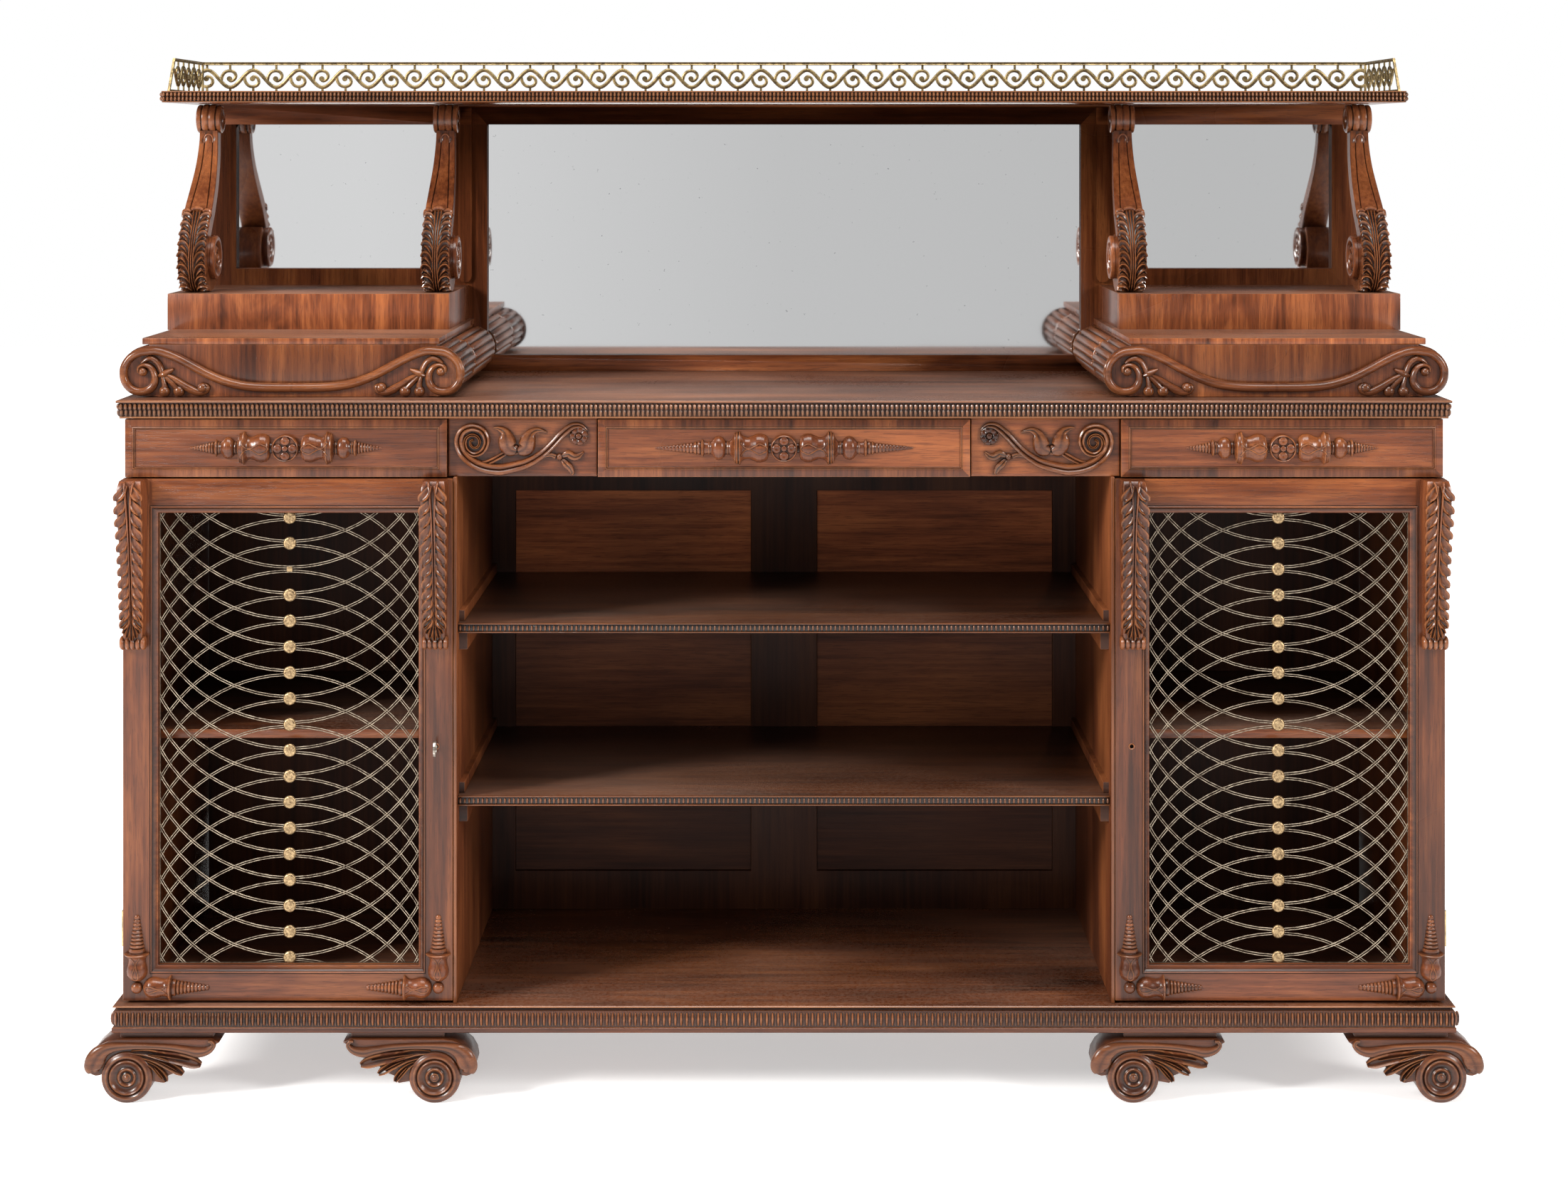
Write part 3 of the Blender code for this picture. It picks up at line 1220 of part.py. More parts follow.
def make_bracket(name, x, wood):
    """An S-shaped console: a strap that curls round a large eye below and rises to a small roll."""
    base = BOX_TOP_Z + SEAT_GAP
    spine_radius = BRACKET_SCROLL_RADIUS - BRACKET_STRAP / 2
    centre = (FRONT_Y + BRACKET_FRONT + BRACKET_SCROLL_RADIUS, base + BRACKET_SCROLL_RADIUS)
    roll = (FRONT_Y + BRACKET_FRONT + BRACKET_LEAN, FRAME_TOP_Z - BRACKET_ROLL_RADIUS)
    leave = math.radians(155)
    spine = arc(centre, spine_radius, 60, -205, 11)
    start = Vector(spine[-1])
    heading = Vector((math.sin(leave), -math.cos(leave)))
    end = Vector((roll[0] - BRACKET_ROLL_RADIUS * 0.15, roll[1] - BRACKET_ROLL_RADIUS * 0.8))
    upper_pull = end - Vector((0.0, BRACKET_UPPER_PULL))
    spine += bezier(start, start + heading * BRACKET_LOWER_PULL, upper_pull, end, 8)[1:]

    def section(t):
        width = BRACKET_BELLY_WIDTH
        if t > 0.6:
            width += (BRACKET_NECK_WIDTH - BRACKET_BELLY_WIDTH) * (t - 0.6) / 0.4
        half = width / 2
        thick = BRACKET_STRAP / 2
        return [(-thick, x - half), (-thick, x + half), (thick, x + half), (thick, x - half)]

    bracket = add_node(name, swept(spine, section, "X"), wood, origin=(x, centre[0], base))
    eye_half = BRACKET_EYE_WIDTH / 2
    roll_half = BRACKET_ROLL_WIDTH / 2
    eye_z = centre[1] + BRACKET_SCROLL_RADIUS * 0.12
    join_to(bracket, cylinder((x, centre[0], eye_z), "X", BRACKET_EYE_RADIUS, (-eye_half, eye_half), 14))
    join_to(bracket, cylinder((x, *roll), "X", BRACKET_ROLL_RADIUS, (-roll_half, roll_half), 14))


# Mirrors and top
def glass_openings():
    """The three openings in the mirror frame, as (left, right, bottom, top)."""
    top = FRAME_TOP_Z - GLASS_TOP_RAIL
    side_sill = BOX_TOP_Z + SIDE_GLASS_SILL
    return {
        "left": (-SIDE_GLASS_OUTER, -SIDE_GLASS_INNER, side_sill, top),
        "centre": (-CENTRE_GLASS_HALF_WIDTH, CENTRE_GLASS_HALF_WIDTH, SLAB_TOP_Z + CENTRE_GLASS_SILL, top),
        "right": (SIDE_GLASS_INNER, SIDE_GLASS_OUTER, side_sill, top),
    }


def make_mirrors(wood, dark_wood, mirror):
    half = MIRROR_FRAME_HALF_WIDTH
    shape = box((-half, half), (MIRROR_FACE_Y, MIRROR_BACK_Y), (BLOCK_BASE_Z, FRAME_TOP_Z))
    frame = add_node("mirror_frame", shape, wood, origin=(0, MIRROR_FACE_Y, BLOCK_BASE_Z))
    glass_front = MIRROR_BACK_Y - GLASS_THICKNESS
    for word, (left, right, low, high) in glass_openings().items():
        through = (MIRROR_FACE_Y - CUT_MARGIN - PILASTER_RELIEF, MIRROR_BACK_Y + CUT_MARGIN)
        cut_from(frame, box((left, right), through, (low, high)))
        reach = GLASS_OVERLAP + SEAT_GAP
        rebate_y = (glass_front - SEAT_GAP, MIRROR_BACK_Y + CUT_MARGIN)
        cut_from(frame, box((left - reach, right + reach), rebate_y, (low - reach, high + reach)))
        x = (left - GLASS_OVERLAP, right + GLASS_OVERLAP)
        z = (low - GLASS_OVERLAP, high + GLASS_OVERLAP)
        glass = box(x, (glass_front, MIRROR_BACK_Y), z)
        add_node(f"mirror_glass_{word}", glass, mirror, origin=((left + right) / 2, glass_front, low))
    for side in (-1, 1):
        middle = PILASTER_INNER + PILASTER_WIDTH / 2
        radius = PILASTER_WIDTH / 2
        foot_z = BOX_TOP_Z + PILASTER_MARGIN + radius
        outline = arc((middle, foot_z), radius, -180, 0, 6)
        top = FRAME_TOP_Z - PILASTER_MARGIN
        outline += [(middle + radius, top), (middle - radius, top)]
        face = (MIRROR_FACE_Y - PILASTER_RELIEF, MIRROR_FACE_Y + JOINT_OVERLAP)
        join_to(frame, extruded(both_ways(outline, side), "Y", face))
    board_y = (MIRROR_BACK_Y + SEAT_GAP, MIRROR_BACK_Y + SEAT_GAP + BACKBOARD_THICKNESS)
    board = box((-half, half), board_y, (BLOCK_BASE_Z, FRAME_TOP_Z))
    add_node("mirror_backboard", board, dark_wood, origin=(0, board_y[0], BLOCK_BASE_Z))


def make_top_board(wood):
    base = TOP_BOARD_BASE_Z
    height = TOP_BOARD_THICKNESS
    middle = base + height / 2
    levels = [(base, 0.0), (base + height * 0.15, 0.0)]
    for angle in (-60, -20, 20, 60):
        turn = math.radians(angle)
        levels.append((middle + height * 0.35 * math.sin(turn), TOP_BOARD_BEAD * math.cos(turn)))
    levels += [(base + height * 0.85, 0.0), (TOP_BOARD_TOP_Z, 0.0)]
    front = FRONT_Y + TOP_BOARD_FRONT
    shape = moulded_board(TOP_BOARD_HALF_WIDTH, front, FRONT_Y + TOP_BOARD_BACK, levels)
    add_node("top_board", shape, wood, origin=(0, front, base))


def gallery_run(length, start, direction):
    """One straight run of the gallery, drawn flat and then turned to its place.

    The run begins at start and goes along direction, a unit vector in plan.
    """
    along = Vector((*direction, 0.0))
    across = Vector((-direction[1], direction[0], 0.0))
    low = GALLERY_BASE_HEIGHT
    high = GALLERY_HEIGHT - GALLERY_RAIL_HEIGHT
    middle = (low + high) / 2
    count = max(2, round(length / GALLERY_PITCH))
    pitch = length / count
    half = GALLERY_THICKNESS / 2
    ribbon = GALLERY_RIBBON / 2
    rise = GALLERY_WAVE_HEIGHT / 2
    shapes = []
    steps = 3
    wave = []
    for i in range(count * steps + 1):
        u = pitch * i / steps
        wave.append((u, middle + rise * math.cos(math.pi * u / pitch)))
    shapes.append(swept(wave, lambda t: [(-ribbon, -half), (0.0, half), (ribbon, -half)], "Y"))
    pegs = bmesh.new()
    peg = GALLERY_PEG / 2
    for i in range(1, count):
        sign = 1 if i % 2 == 0 else -1
        crest = middle + sign * (rise - ribbon * 0.07)
        edge = high + JOINT_OVERLAP / 2 if sign > 0 else low - JOINT_OVERLAP / 2
        ends = sorted((crest, edge))
        merge_into(pegs, box((pitch * i - peg, pitch * i + peg), (-half * 0.75, half * 0.2), ends))
    shapes.append(pegs)
    hooks = bmesh.new()
    thin = [(-ribbon * 0.8, -half * 0.6), (0.0, half * 0.5), (ribbon * 0.8, -half * 0.6)]
    for i in range(1, count):
        sign = 1 if i % 2 == 0 else -1
        hook = [(pitch * (i - 0.43), middle + sign * rise * 0.17)]
        hook += arc((pitch * i, middle), rise * 0.72, -sign * 190, -sign * 10, 3)
        merge_into(hooks, swept(hook, lambda t: thin, "Y"))
    shapes.append(hooks)
    for shape in shapes:
        for vert in shape.verts:
            flat = vert.co.copy()
            vert.co = Vector(start) + along * flat.x + across * flat.y + Vector((0, 0, flat.z))
        tidy(shape)
    return shapes


def make_gallery(brass):
    """A base strip and a top rail on three sides, joined by a running scroll on pegs."""
    half_width = GALLERY_HALF_WIDTH
    back = FRONT_Y + GALLERY_BACK
    front = FRONT_Y + GALLERY_FRONT
    top_front = front + GALLERY_END_SLOPE
    half = GALLERY_THICKNESS / 2 + 3 * HAIR

    def u_shape(front_y):
        return [
            (-half_width - half, front_y),
            (-half_width - half, back + half),
            (half_width + half, back + half),
            (half_width + half, front_y),
            (half_width - half, front_y),
            (half_width - half, back - half),
            (-half_width + half, back - half),
            (-half_width + half, front_y),
        ]

    base_z = (GALLERY_BASE_Z, GALLERY_BASE_Z + GALLERY_BASE_HEIGHT)
    rail_z = (GALLERY_TOP_Z - GALLERY_RAIL_HEIGHT, GALLERY_TOP_Z)
    strip = extruded(u_shape(front), "Z", base_z)
    gallery = add_node("gallery", strip, brass, origin=(0, back, GALLERY_BASE_Z))
    join_to(gallery, extruded(u_shape(top_front), "Z", rail_z))
    lift = GALLERY_BASE_Z
    runs = [(2 * half_width, (-half_width, back, lift), (1.0, 0.0))]
    side_start = top_front + GALLERY_POST / 2
    runs.append((back - side_start, (-half_width, side_start, lift), (0.0, 1.0)))
    runs.append((back - side_start, (half_width, side_start, lift), (0.0, 1.0)))
    for length, start, direction in runs:
        for shape in gallery_run(length, start, direction):
            join_to(gallery, shape)
    for side in (-1, 1):
        low = base_z[0] + JOINT_OVERLAP / 2
        high = rail_z[1] - JOINT_OVERLAP / 2
        post = [
            (front + JOINT_OVERLAP / 2, low),
            (front + GALLERY_POST, low),
            (top_front + GALLERY_POST, high),
            (top_front + JOINT_OVERLAP / 2, high),
        ]
        x = (side * half_width - half * 0.9, side * half_width + half * 0.9)
        join_to(gallery, extruded(post, "X", x))
        corner_x = (side * half_width - half * 0.95, side * half_width + half * 0.95)
        corner_y = (back - half * 0.95, back + half * 0.95)
        join_to(gallery, box(corner_x, corner_y, (low, high)))


def main():
    clear_scene()
    mahogany = make_material("mahogany", (0.24, 0.09, 0.045), 0.3)
    carved = make_material("carved_mahogany", (0.19, 0.065, 0.035), 0.35)
    interior = make_material("interior_wood", (0.07, 0.03, 0.022), 0.5)
    brass = make_material("gallery_brass", (0.55, 0.42, 0.20), 0.35, 1.0)
    lattice_brass = make_material("lattice_brass", (0.45, 0.40, 0.30), 0.4, 1.0)
    hinge_brass = make_material("hinge_brass", (0.50, 0.38, 0.18), 0.45, 1.0)
    steel = make_material("key_steel", (0.35, 0.33, 0.30), 0.4, 1.0)
    mirror = make_material("mirror", (0.85, 0.86, 0.86), 0.03, 1.0)

    make_plinth(mahogany)
    make_feet(carved)
    make_back(interior)
    make_dust_board(interior)
    make_shelves(mahogany, interior)
    make_slab(mahogany)
    make_drawers(mahogany, carved)
    for word, side in (("left", -1), ("right", 1)):
        make_end(word, side, mahogany)
        make_partition(word, side, mahogany)
        make_frieze(word, side, carved)
        make_door(word, side, (mahogany, carved), (lattice_brass, hinge_brass), steel)
        make_scroll_end(word, side, mahogany)
        make_pedestal(word, side, mahogany)
        make_bracket(f"bracket_inner_{word}", side * (ROLLER_INNER_X + BRACKET_INNER_INSET), carved)
        make_bracket(f"bracket_outer_{word}", side * (ROLLER_OUTER_X - BRACKET_OUTER_INSET), carved)
    make_mirrors(mahogany, interior, mirror)
    make_top_board(mahogany)
    make_gallery(brass)


main()
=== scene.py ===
import json
import math

import bmesh
import bpy
from mathutils import Matrix, Vector
from mathutils.bvhtree import BVHTree

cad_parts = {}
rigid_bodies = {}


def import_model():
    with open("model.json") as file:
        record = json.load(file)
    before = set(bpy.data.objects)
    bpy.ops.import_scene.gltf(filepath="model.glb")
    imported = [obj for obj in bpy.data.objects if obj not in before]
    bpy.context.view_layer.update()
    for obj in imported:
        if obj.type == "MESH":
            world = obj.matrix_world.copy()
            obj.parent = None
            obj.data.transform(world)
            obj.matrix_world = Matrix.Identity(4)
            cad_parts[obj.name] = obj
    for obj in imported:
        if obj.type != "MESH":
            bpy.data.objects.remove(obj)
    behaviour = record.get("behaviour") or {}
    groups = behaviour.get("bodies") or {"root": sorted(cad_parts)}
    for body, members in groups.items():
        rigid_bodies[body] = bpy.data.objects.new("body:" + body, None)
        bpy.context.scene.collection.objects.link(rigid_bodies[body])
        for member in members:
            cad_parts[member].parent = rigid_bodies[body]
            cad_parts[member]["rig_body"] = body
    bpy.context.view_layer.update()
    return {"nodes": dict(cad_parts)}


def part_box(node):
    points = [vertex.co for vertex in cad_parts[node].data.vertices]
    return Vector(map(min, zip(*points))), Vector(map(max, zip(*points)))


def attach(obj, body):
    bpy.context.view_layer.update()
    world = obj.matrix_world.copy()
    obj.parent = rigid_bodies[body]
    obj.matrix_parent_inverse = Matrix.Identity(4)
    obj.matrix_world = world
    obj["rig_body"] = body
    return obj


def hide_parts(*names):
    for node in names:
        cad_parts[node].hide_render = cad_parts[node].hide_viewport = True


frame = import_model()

nodes = frame["nodes"]
scene = bpy.context.scene
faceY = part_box("partition_left")[0].y  # the plane of the doors' faces
print("frame loaded:", len(nodes), "nodes")


def startMaterial(name):
    mat = bpy.data.materials.new(name)
    mat.use_nodes = True
    tree = mat.node_tree
    bsdf = tree.nodes["Principled BSDF"]

    def add(kind, sockets=None, **settings):
        node = tree.nodes.new("ShaderNode" + kind)
        for key, value in settings.items():
            setattr(node, key, value)
        for key, value in (sockets or {}).items():
            node.inputs[key].default_value = value
        return node

    return mat, bsdf, add, tree.links.new


woodSettings = {
    "dark": (0.020, 0.0050, 0.0026),
    "mid": (0.132, 0.035, 0.0115),
    "light": (0.300, 0.096, 0.030),
    "wax": (0.0045, 0.0022, 0.0018),  # painted shade in the hollows, with some old wax
    "worn": (0.36, 0.155, 0.062),  # rubbed edges
    "dust": (0.30, 0.22, 0.17),
}


def woodMaterial(name, grain="X", tone=1.0, figure=1.0, dust=0.0, shift=(0, 0, 0), rough=0.3, coat=0.14):
    # grain is the axis along which the fibres run
    mat, bsdf, add, link = startMaterial(name)
    s = woodSettings
    place = add("TexCoord").outputs["Object"]

    def grainNoise(along, across, detail, twist=0.0):
        scale = [across] * 3
        scale["XYZ".index(grain)] = along
        node = add("Mapping", {"Scale": scale, "Location": shift})
        link(place, node.inputs["Vector"])
        cells = add("TexNoise", {"Scale": 1.0, "Detail": detail, "Roughness": 0.6, "Distortion": twist})
        link(node.outputs["Vector"], cells.inputs["Vector"])
        return cells.outputs["Fac"]

    def calc(kind, a, b, clamp=False):
        node = add("Math", operation=kind, use_clamp=clamp)
        for socket, value in zip(node.inputs, (a, b)):
            if isinstance(value, (int, float)):
                socket.default_value = value
            else:
                link(value, socket)
        return node.outputs[0]

    def blendIn(fac, base, colour, kind="MIX"):
        node = add("Mix", data_type="RGBA", blend_type=kind)
        for key, value in ((0, fac), (6, base), (7, colour)):
            if isinstance(value, (int, float)):
                node.inputs[key].default_value = value
            elif isinstance(value, tuple):
                node.inputs[key].default_value = (*value, 1)
            else:
                link(value, node.inputs[key])
        return node.outputs[2]

    bands = grainNoise(1.6, 9.0, 3.0, 1.4 * figure)  # broad figure
    fibres = grainNoise(5.0, 170.0, 3.0)  # fine streaks
    pores = grainNoise(38.0, 900.0, 1.0)  # short dark dashes
    clouds = grainNoise(2.2, 2.6, 2.0)  # large lighter and darker places
    level = calc("ADD", calc("MULTIPLY", bands, 0.62), calc("MULTIPLY", fibres, 0.38))
    ramp = add("ValToRGB")
    ramp.color_ramp.elements[0].position = 0.30
    ramp.color_ramp.elements[0].color = (*(c * tone * 0.8 for c in s["dark"]), 1)
    ramp.color_ramp.elements[1].position = 0.72
    ramp.color_ramp.elements[1].color = (*(c * tone for c in s["light"]), 1)
    middle = ramp.color_ramp.elements.new(0.49)
    middle.color = (*(c * tone for c in s["mid"]), 1)
    link(level, ramp.inputs["Fac"])
    colour = ramp.outputs["Color"]
    poreSpots = calc("MULTIPLY", calc("GREATER_THAN", pores, 0.60), 0.35)
    colour = blendIn(poreSpots, colour, s["dark"])
    shade = add("MapRange", {"From Min": 0.3, "From Max": 0.7, "To Min": 0.62, "To Max": 1.12})
    link(clouds, shade.inputs["Value"])
    grey = add("CombineColor")
    for key in ("Red", "Green", "Blue"):
        link(shade.outputs["Result"], grey.inputs[key])
    colour = blendIn(1.0, colour, grey.outputs["Color"], "MULTIPLY")
    # painted shade: hollows and places shut in by other carving are darkened, partly as old wax
    hollow = add("Attribute", attribute_name="hollow").outputs["Fac"]
    colour = blendIn(calc("MULTIPLY", hollow, 0.95, True), colour, s["wax"])
    worn = add("Attribute", attribute_name="worn").outputs["Fac"]
    colour = blendIn(calc("MULTIPLY", worn, calc("MULTIPLY", fibres, 1.3), True), colour, s["worn"])
    roughness = calc("ADD", calc("MULTIPLY", clouds, 0.28), rough - 0.14)
    if dust:
        up = add("SeparateXYZ")
        link(add("NewGeometry").outputs["Normal"], up.inputs[0])
        facing = calc("MULTIPLY", calc("SUBTRACT", up.outputs["Z"], 0.55, True), 2.2, True)
        specks = add("TexNoise", {"Scale": 210.0, "Detail": 6.0, "Roughness": 0.75})
        link(place, specks.inputs["Vector"])
        film = calc("ADD", calc("MULTIPLY", specks.outputs["Fac"], 0.9), calc("MULTIPLY", clouds, 0.9))
        film = calc("SUBTRACT", film, 0.72, True)
        amount = calc("MULTIPLY", calc("MULTIPLY", film, facing), dust, True)
        colour = blendIn(amount, colour, s["dust"])
        roughness = calc("ADD", roughness, calc("MULTIPLY", amount, 0.9))
    link(colour, bsdf.inputs["Base Color"])
    link(roughness, bsdf.inputs["Roughness"])
    bsdf.inputs["Coat Weight"].default_value = coat
    bsdf.inputs["Coat Roughness"].default_value = 0.16
    bsdf.inputs["IOR"].default_value = 1.48
    bsdf.inputs["Specular IOR Level"].default_value = 0.28
    bump = add("Bump", {"Strength": 0.35, "Distance": 0.0006})
    link(calc("SUBTRACT", calc("MULTIPLY", fibres, 0.5), poreSpots), bump.inputs["Height"])
    link(bump.outputs["Normal"], bsdf.inputs["Normal"])
    return mat


def metalMaterial(name, colour, dull, rough=0.3, spots=0.5, scale=60.0):
    # worn metal: bright places and tarnished places
    mat, bsdf, add, link = startMaterial(name)
    place = add("TexCoord").outputs["Object"]
    patches = add("TexNoise", {"Scale": scale, "Detail": 5.0, "Roughness": 0.65})
    link(place, patches.inputs["Vector"])
    ramp = add("ValToRGB")
    ramp.color_ramp.elements[0].position = 0.5 - 0.2 * spots
    ramp.color_ramp.elements[0].color = (*dull, 1)
    ramp.color_ramp.elements[1].position = 0.5 + 0.18 * spots
    ramp.color_ramp.elements[1].color = (*colour, 1)
    link(patches.outputs["Fac"], ramp.inputs["Fac"])
    link(ramp.outputs["Color"], bsdf.inputs["Base Color"])
    bsdf.inputs["Metallic"].default_value = 1.0
    spread = add("MapRange", {"To Min": rough + 0.18, "To Max": rough - 0.06})
    link(patches.outputs["Fac"], spread.inputs["Value"])
    link(spread.outputs["Result"], bsdf.inputs["Roughness"])
    fine = add("TexNoise", {"Scale": 900.0, "Detail": 2.0})
    link(place, fine.inputs["Vector"])
    bump = add("Bump", {"Strength": 0.2, "Distance": 0.0003})
    link(fine.outputs["Fac"], bump.inputs["Height"])
    link(bump.outputs["Normal"], bsdf.inputs["Normal"])
    return mat


def mirrorMaterial():
    # old silvered glass: clean, a little grey, with a few specks of lost silver
    mat, bsdf, add, link = startMaterial("mirrorSilver")
    place = add("TexCoord").outputs["Object"]
    specks = add("TexNoise", {"Scale": 130.0, "Detail": 4.0, "Roughness": 0.7})
    link(place, specks.inputs["Vector"])
    ramp = add("ValToRGB")
    ramp.color_ramp.elements[0].position = 0.68
    ramp.color_ramp.elements[0].color = (0.90, 0.905, 0.91, 1)
    ramp.color_ramp.elements[1].position = 0.74
    ramp.color_ramp.elements[1].color = (0.42, 0.43, 0.44, 1)
    link(specks.outputs["Fac"], ramp.inputs["Fac"])
    link(ramp.outputs["Color"], bsdf.inputs["Base Color"])
    bsdf.inputs["Metallic"].default_value = 1.0
    haze = add("TexNoise", {"Scale": 6.0, "Detail": 3.0})
    link(place, haze.inputs["Vector"])
    spread = add("MapRange", {"To Min": 0.01, "To Max": 0.07})
    link(haze.outputs["Fac"], spread.inputs["Value"])
    link(spread.outputs["Result"], bsdf.inputs["Roughness"])
    return mat


backFinish = {"figure": 0.4, "shift": (7.0, 1.7, 2.3), "rough": 0.6, "coat": 0.0}
wood = {
    "x": woodMaterial("mahoganyAcross", "X", tone=0.9, shift=(0.3, 1.1, 0.2)),
    "y": woodMaterial("mahoganyDeep", "Y", tone=0.8, shift=(2.1, 0.4, 0.9)),
    "z": woodMaterial("mahoganyUpright", "Z", tone=0.64, shift=(0.7, 0.2, 1.6)),
    "flame": woodMaterial("mahoganyFlame", "Z", tone=1.1, figure=3.4, shift=(1.3, 3.1, 0.6)),
    "veneer": woodMaterial("mahoganyVeneer", "Z", tone=1.1, figure=0.7, shift=(4.3, 0.1, 0.0)),
    "top": woodMaterial("mahoganyTop", "X", tone=0.75, dust=0.55, shift=(5.0, 0.7, 0.3), rough=0.26),
    "dusty": woodMaterial(
        "mahoganyDusty", "X", tone=0.5, dust=1.0, shift=(6.6, 1.7, 1.3), rough=0.5, coat=0.1,
    ),
    "shelf": woodMaterial("mahoganyShelf", "X", tone=0.32, dust=0.35, shift=(6.0, 2.7, 1.3), rough=0.32),
    # lit and shaded copies of the back's wood: painted light in the top opening, painted shade in the middle
    # and darkest in the lowest
    "backUpper": woodMaterial("mahoganyBackLitUpper", "X", tone=1.5, **backFinish),
    "back": woodMaterial("mahoganyBackShadedMiddle", "X", tone=0.55, **backFinish),
    "backLower": woodMaterial("mahoganyBackShadedLower", "X", tone=0.26, **backFinish),
    "backUpright": woodMaterial("mahoganyBackUpright", "Z", tone=0.2, **backFinish),
    "nicheSide": woodMaterial(
        "mahoganyNicheSide", "Z", tone=0.86, figure=0.5, shift=(7.6, 0.7, 2.3), rough=0.42, coat=0.0,
    ),
    "carved": woodMaterial("mahoganyCarved", "Z", tone=0.9, figure=0.6, shift=(2.7, 5.1, 0.4), rough=0.27),
    "carvedX": woodMaterial(
        "mahoganyCarvedAcross", "X", tone=0.82, figure=0.6, shift=(3.7, 4.1, 0.4), rough=0.27,
    ),
    "foot": woodMaterial("mahoganyFoot", "X", tone=0.55, figure=0.6, shift=(3.1, 4.4, 0.9), rough=0.3),
    "beads": woodMaterial("mahoganyBeads", "X", tone=0.5, figure=0.4, shift=(1.7, 2.1, 3.4), rough=0.25),
    "inside": woodMaterial(
        "cupboardInside", "X", tone=0.3, figure=0.3, dust=0.3, shift=(9.0, 2.0, 3.3), rough=0.55,
    ),
    "oak": woodMaterial("drawerLining", "Y", tone=0.9, figure=0.3, shift=(8.0, 2.0, 1.3), rough=0.55),
}
metal = {
    "gallery": metalMaterial("galleryBrass", (0.40, 0.30, 0.145), (0.11, 0.08, 0.042), 0.38, 0.7, 110.0),
    "lattice": metalMaterial("latticeBrass", (0.43, 0.36, 0.275), (0.13, 0.10, 0.075), 0.36, 0.7, 150.0),
    "rosette": metalMaterial("rosetteBrass", (0.47, 0.335, 0.185), (0.12, 0.075, 0.04), 0.40, 0.9, 330.0),
    "hinge": metalMaterial("hingeBrass", (0.58, 0.42, 0.18), (0.22, 0.15, 0.06), 0.36, 0.6, 70.0),
    "steel": metalMaterial("keySteel", (0.62, 0.58, 0.52), (0.24, 0.21, 0.18), 0.33, 0.6, 120.0),
}
mirrorSilver = mirrorMaterial()
print("materials made")

cameraSettings = {"distance": 3.80, "height": 1.3405, "lens": 62.1, "sensor": 36, "rise": -0.288}
lightSettings = {
    "world": 0.39,
    "gloss": 0.13,  # the darker room that polished wood mirrors
    "backdrop": 1.0,
    "card": (0.72, 0.58, 0.54),  # what the left, middle and right glass reflect
    "lampColour": (1.0, 0.985, 0.96),
    "lamps": {  # place, aim, size, power
        "leftBox": ((-4.5, -3.0, 3.0), (0, 0, 0.7), (1.0, 1.7), 440),
        "rightBox": ((4.4, -2.8, 2.6), (0, 0, 0.7), (0.9, 1.5), 190),
        "lowFill": ((-0.7, -4.3, 0.75), (0, 0, 0.62), (1.6, 0.8), 42),
        "topBox": ((0, -1.2, 4.2), (0, 0.1, 0.8), (3.0, 1.4), 170),
    },
}


def setCamera():
    cam = bpy.data.cameras.new("camera")
    cam.lens = cameraSettings["lens"]
    cam.sensor_width = cameraSettings["sensor"]
    cam.shift_y = cameraSettings["rise"]
    cam.clip_end = 60
    obj = bpy.data.objects.new("camera", cam)
    obj.location = (0, faceY - cameraSettings["distance"], cameraSettings["height"])
    obj.rotation_euler = (math.radians(90), 0, 0)
    scene.collection.objects.link(obj)
    scene.camera = obj


def setLight():
    world = bpy.data.worlds.new("studio")
    world.use_nodes = True
    scene.world = world
    tree = world.node_tree
    tree.nodes.clear()
    out = tree.nodes.new("ShaderNodeOutputWorld")
    mix = tree.nodes.new("ShaderNodeMixShader")
    ray = tree.nodes.new("ShaderNodeLightPath")
    gloss = tree.nodes.new("ShaderNodeMixShader")
    tree.links.new(ray.outputs["Is Camera Ray"], mix.inputs["Fac"])
    tree.links.new(ray.outputs["Is Glossy Ray"], gloss.inputs["Fac"])
    for shader, slot, key in ((gloss, 1, "world"), (gloss, 2, "gloss"), (mix, 2, "backdrop")):
        sky = tree.nodes.new("ShaderNodeBackground")
        sky.inputs["Strength"].default_value = lightSettings[key]
        sky.inputs["Color"].default_value = (1, 1, 1, 1)
        tree.links.new(sky.outputs[0], shader.inputs[slot])
    tree.links.new(gloss.outputs[0], mix.inputs[1])
    tree.links.new(mix.outputs[0], out.inputs["Surface"])
    for name, (place, aim, size, power) in lightSettings["lamps"].items():
        lamp = bpy.data.lights.new(name, "AREA")
        lamp.shape = "RECTANGLE"
        lamp.size, lamp.size_y = size
        lamp.energy = power
        lamp.color = lightSettings["lampColour"]
        obj = bpy.data.objects.new(name, lamp)
        obj.location = place
        obj.rotation_euler = (Vector(aim) - Vector(place)).to_track_quat("-Z", "Y").to_euler()
        obj.visible_glossy = name != "lowFill"  # a soft fill that must not shine in the glass
        scene.collection.objects.link(obj)
    scene.view_settings.view_transform = "Standard"


def stageSheet(name, size, place, mat):
    # a flat sheet of the studio, which isn't part of the object
    bm = bmesh.new()
    bmesh.ops.create_grid(bm, x_segments=2, y_segments=2, size=size)
    bmesh.ops.transform(bm, matrix=place, verts=bm.verts)
    mesh = bpy.data.meshes.new(name)
    bm.to_mesh(mesh)
    bm.free()
    mesh.materials.append(mat)
    sheet = bpy.data.objects.new(name, mesh)
    scene.collection.objects.link(sheet)
    return sheet


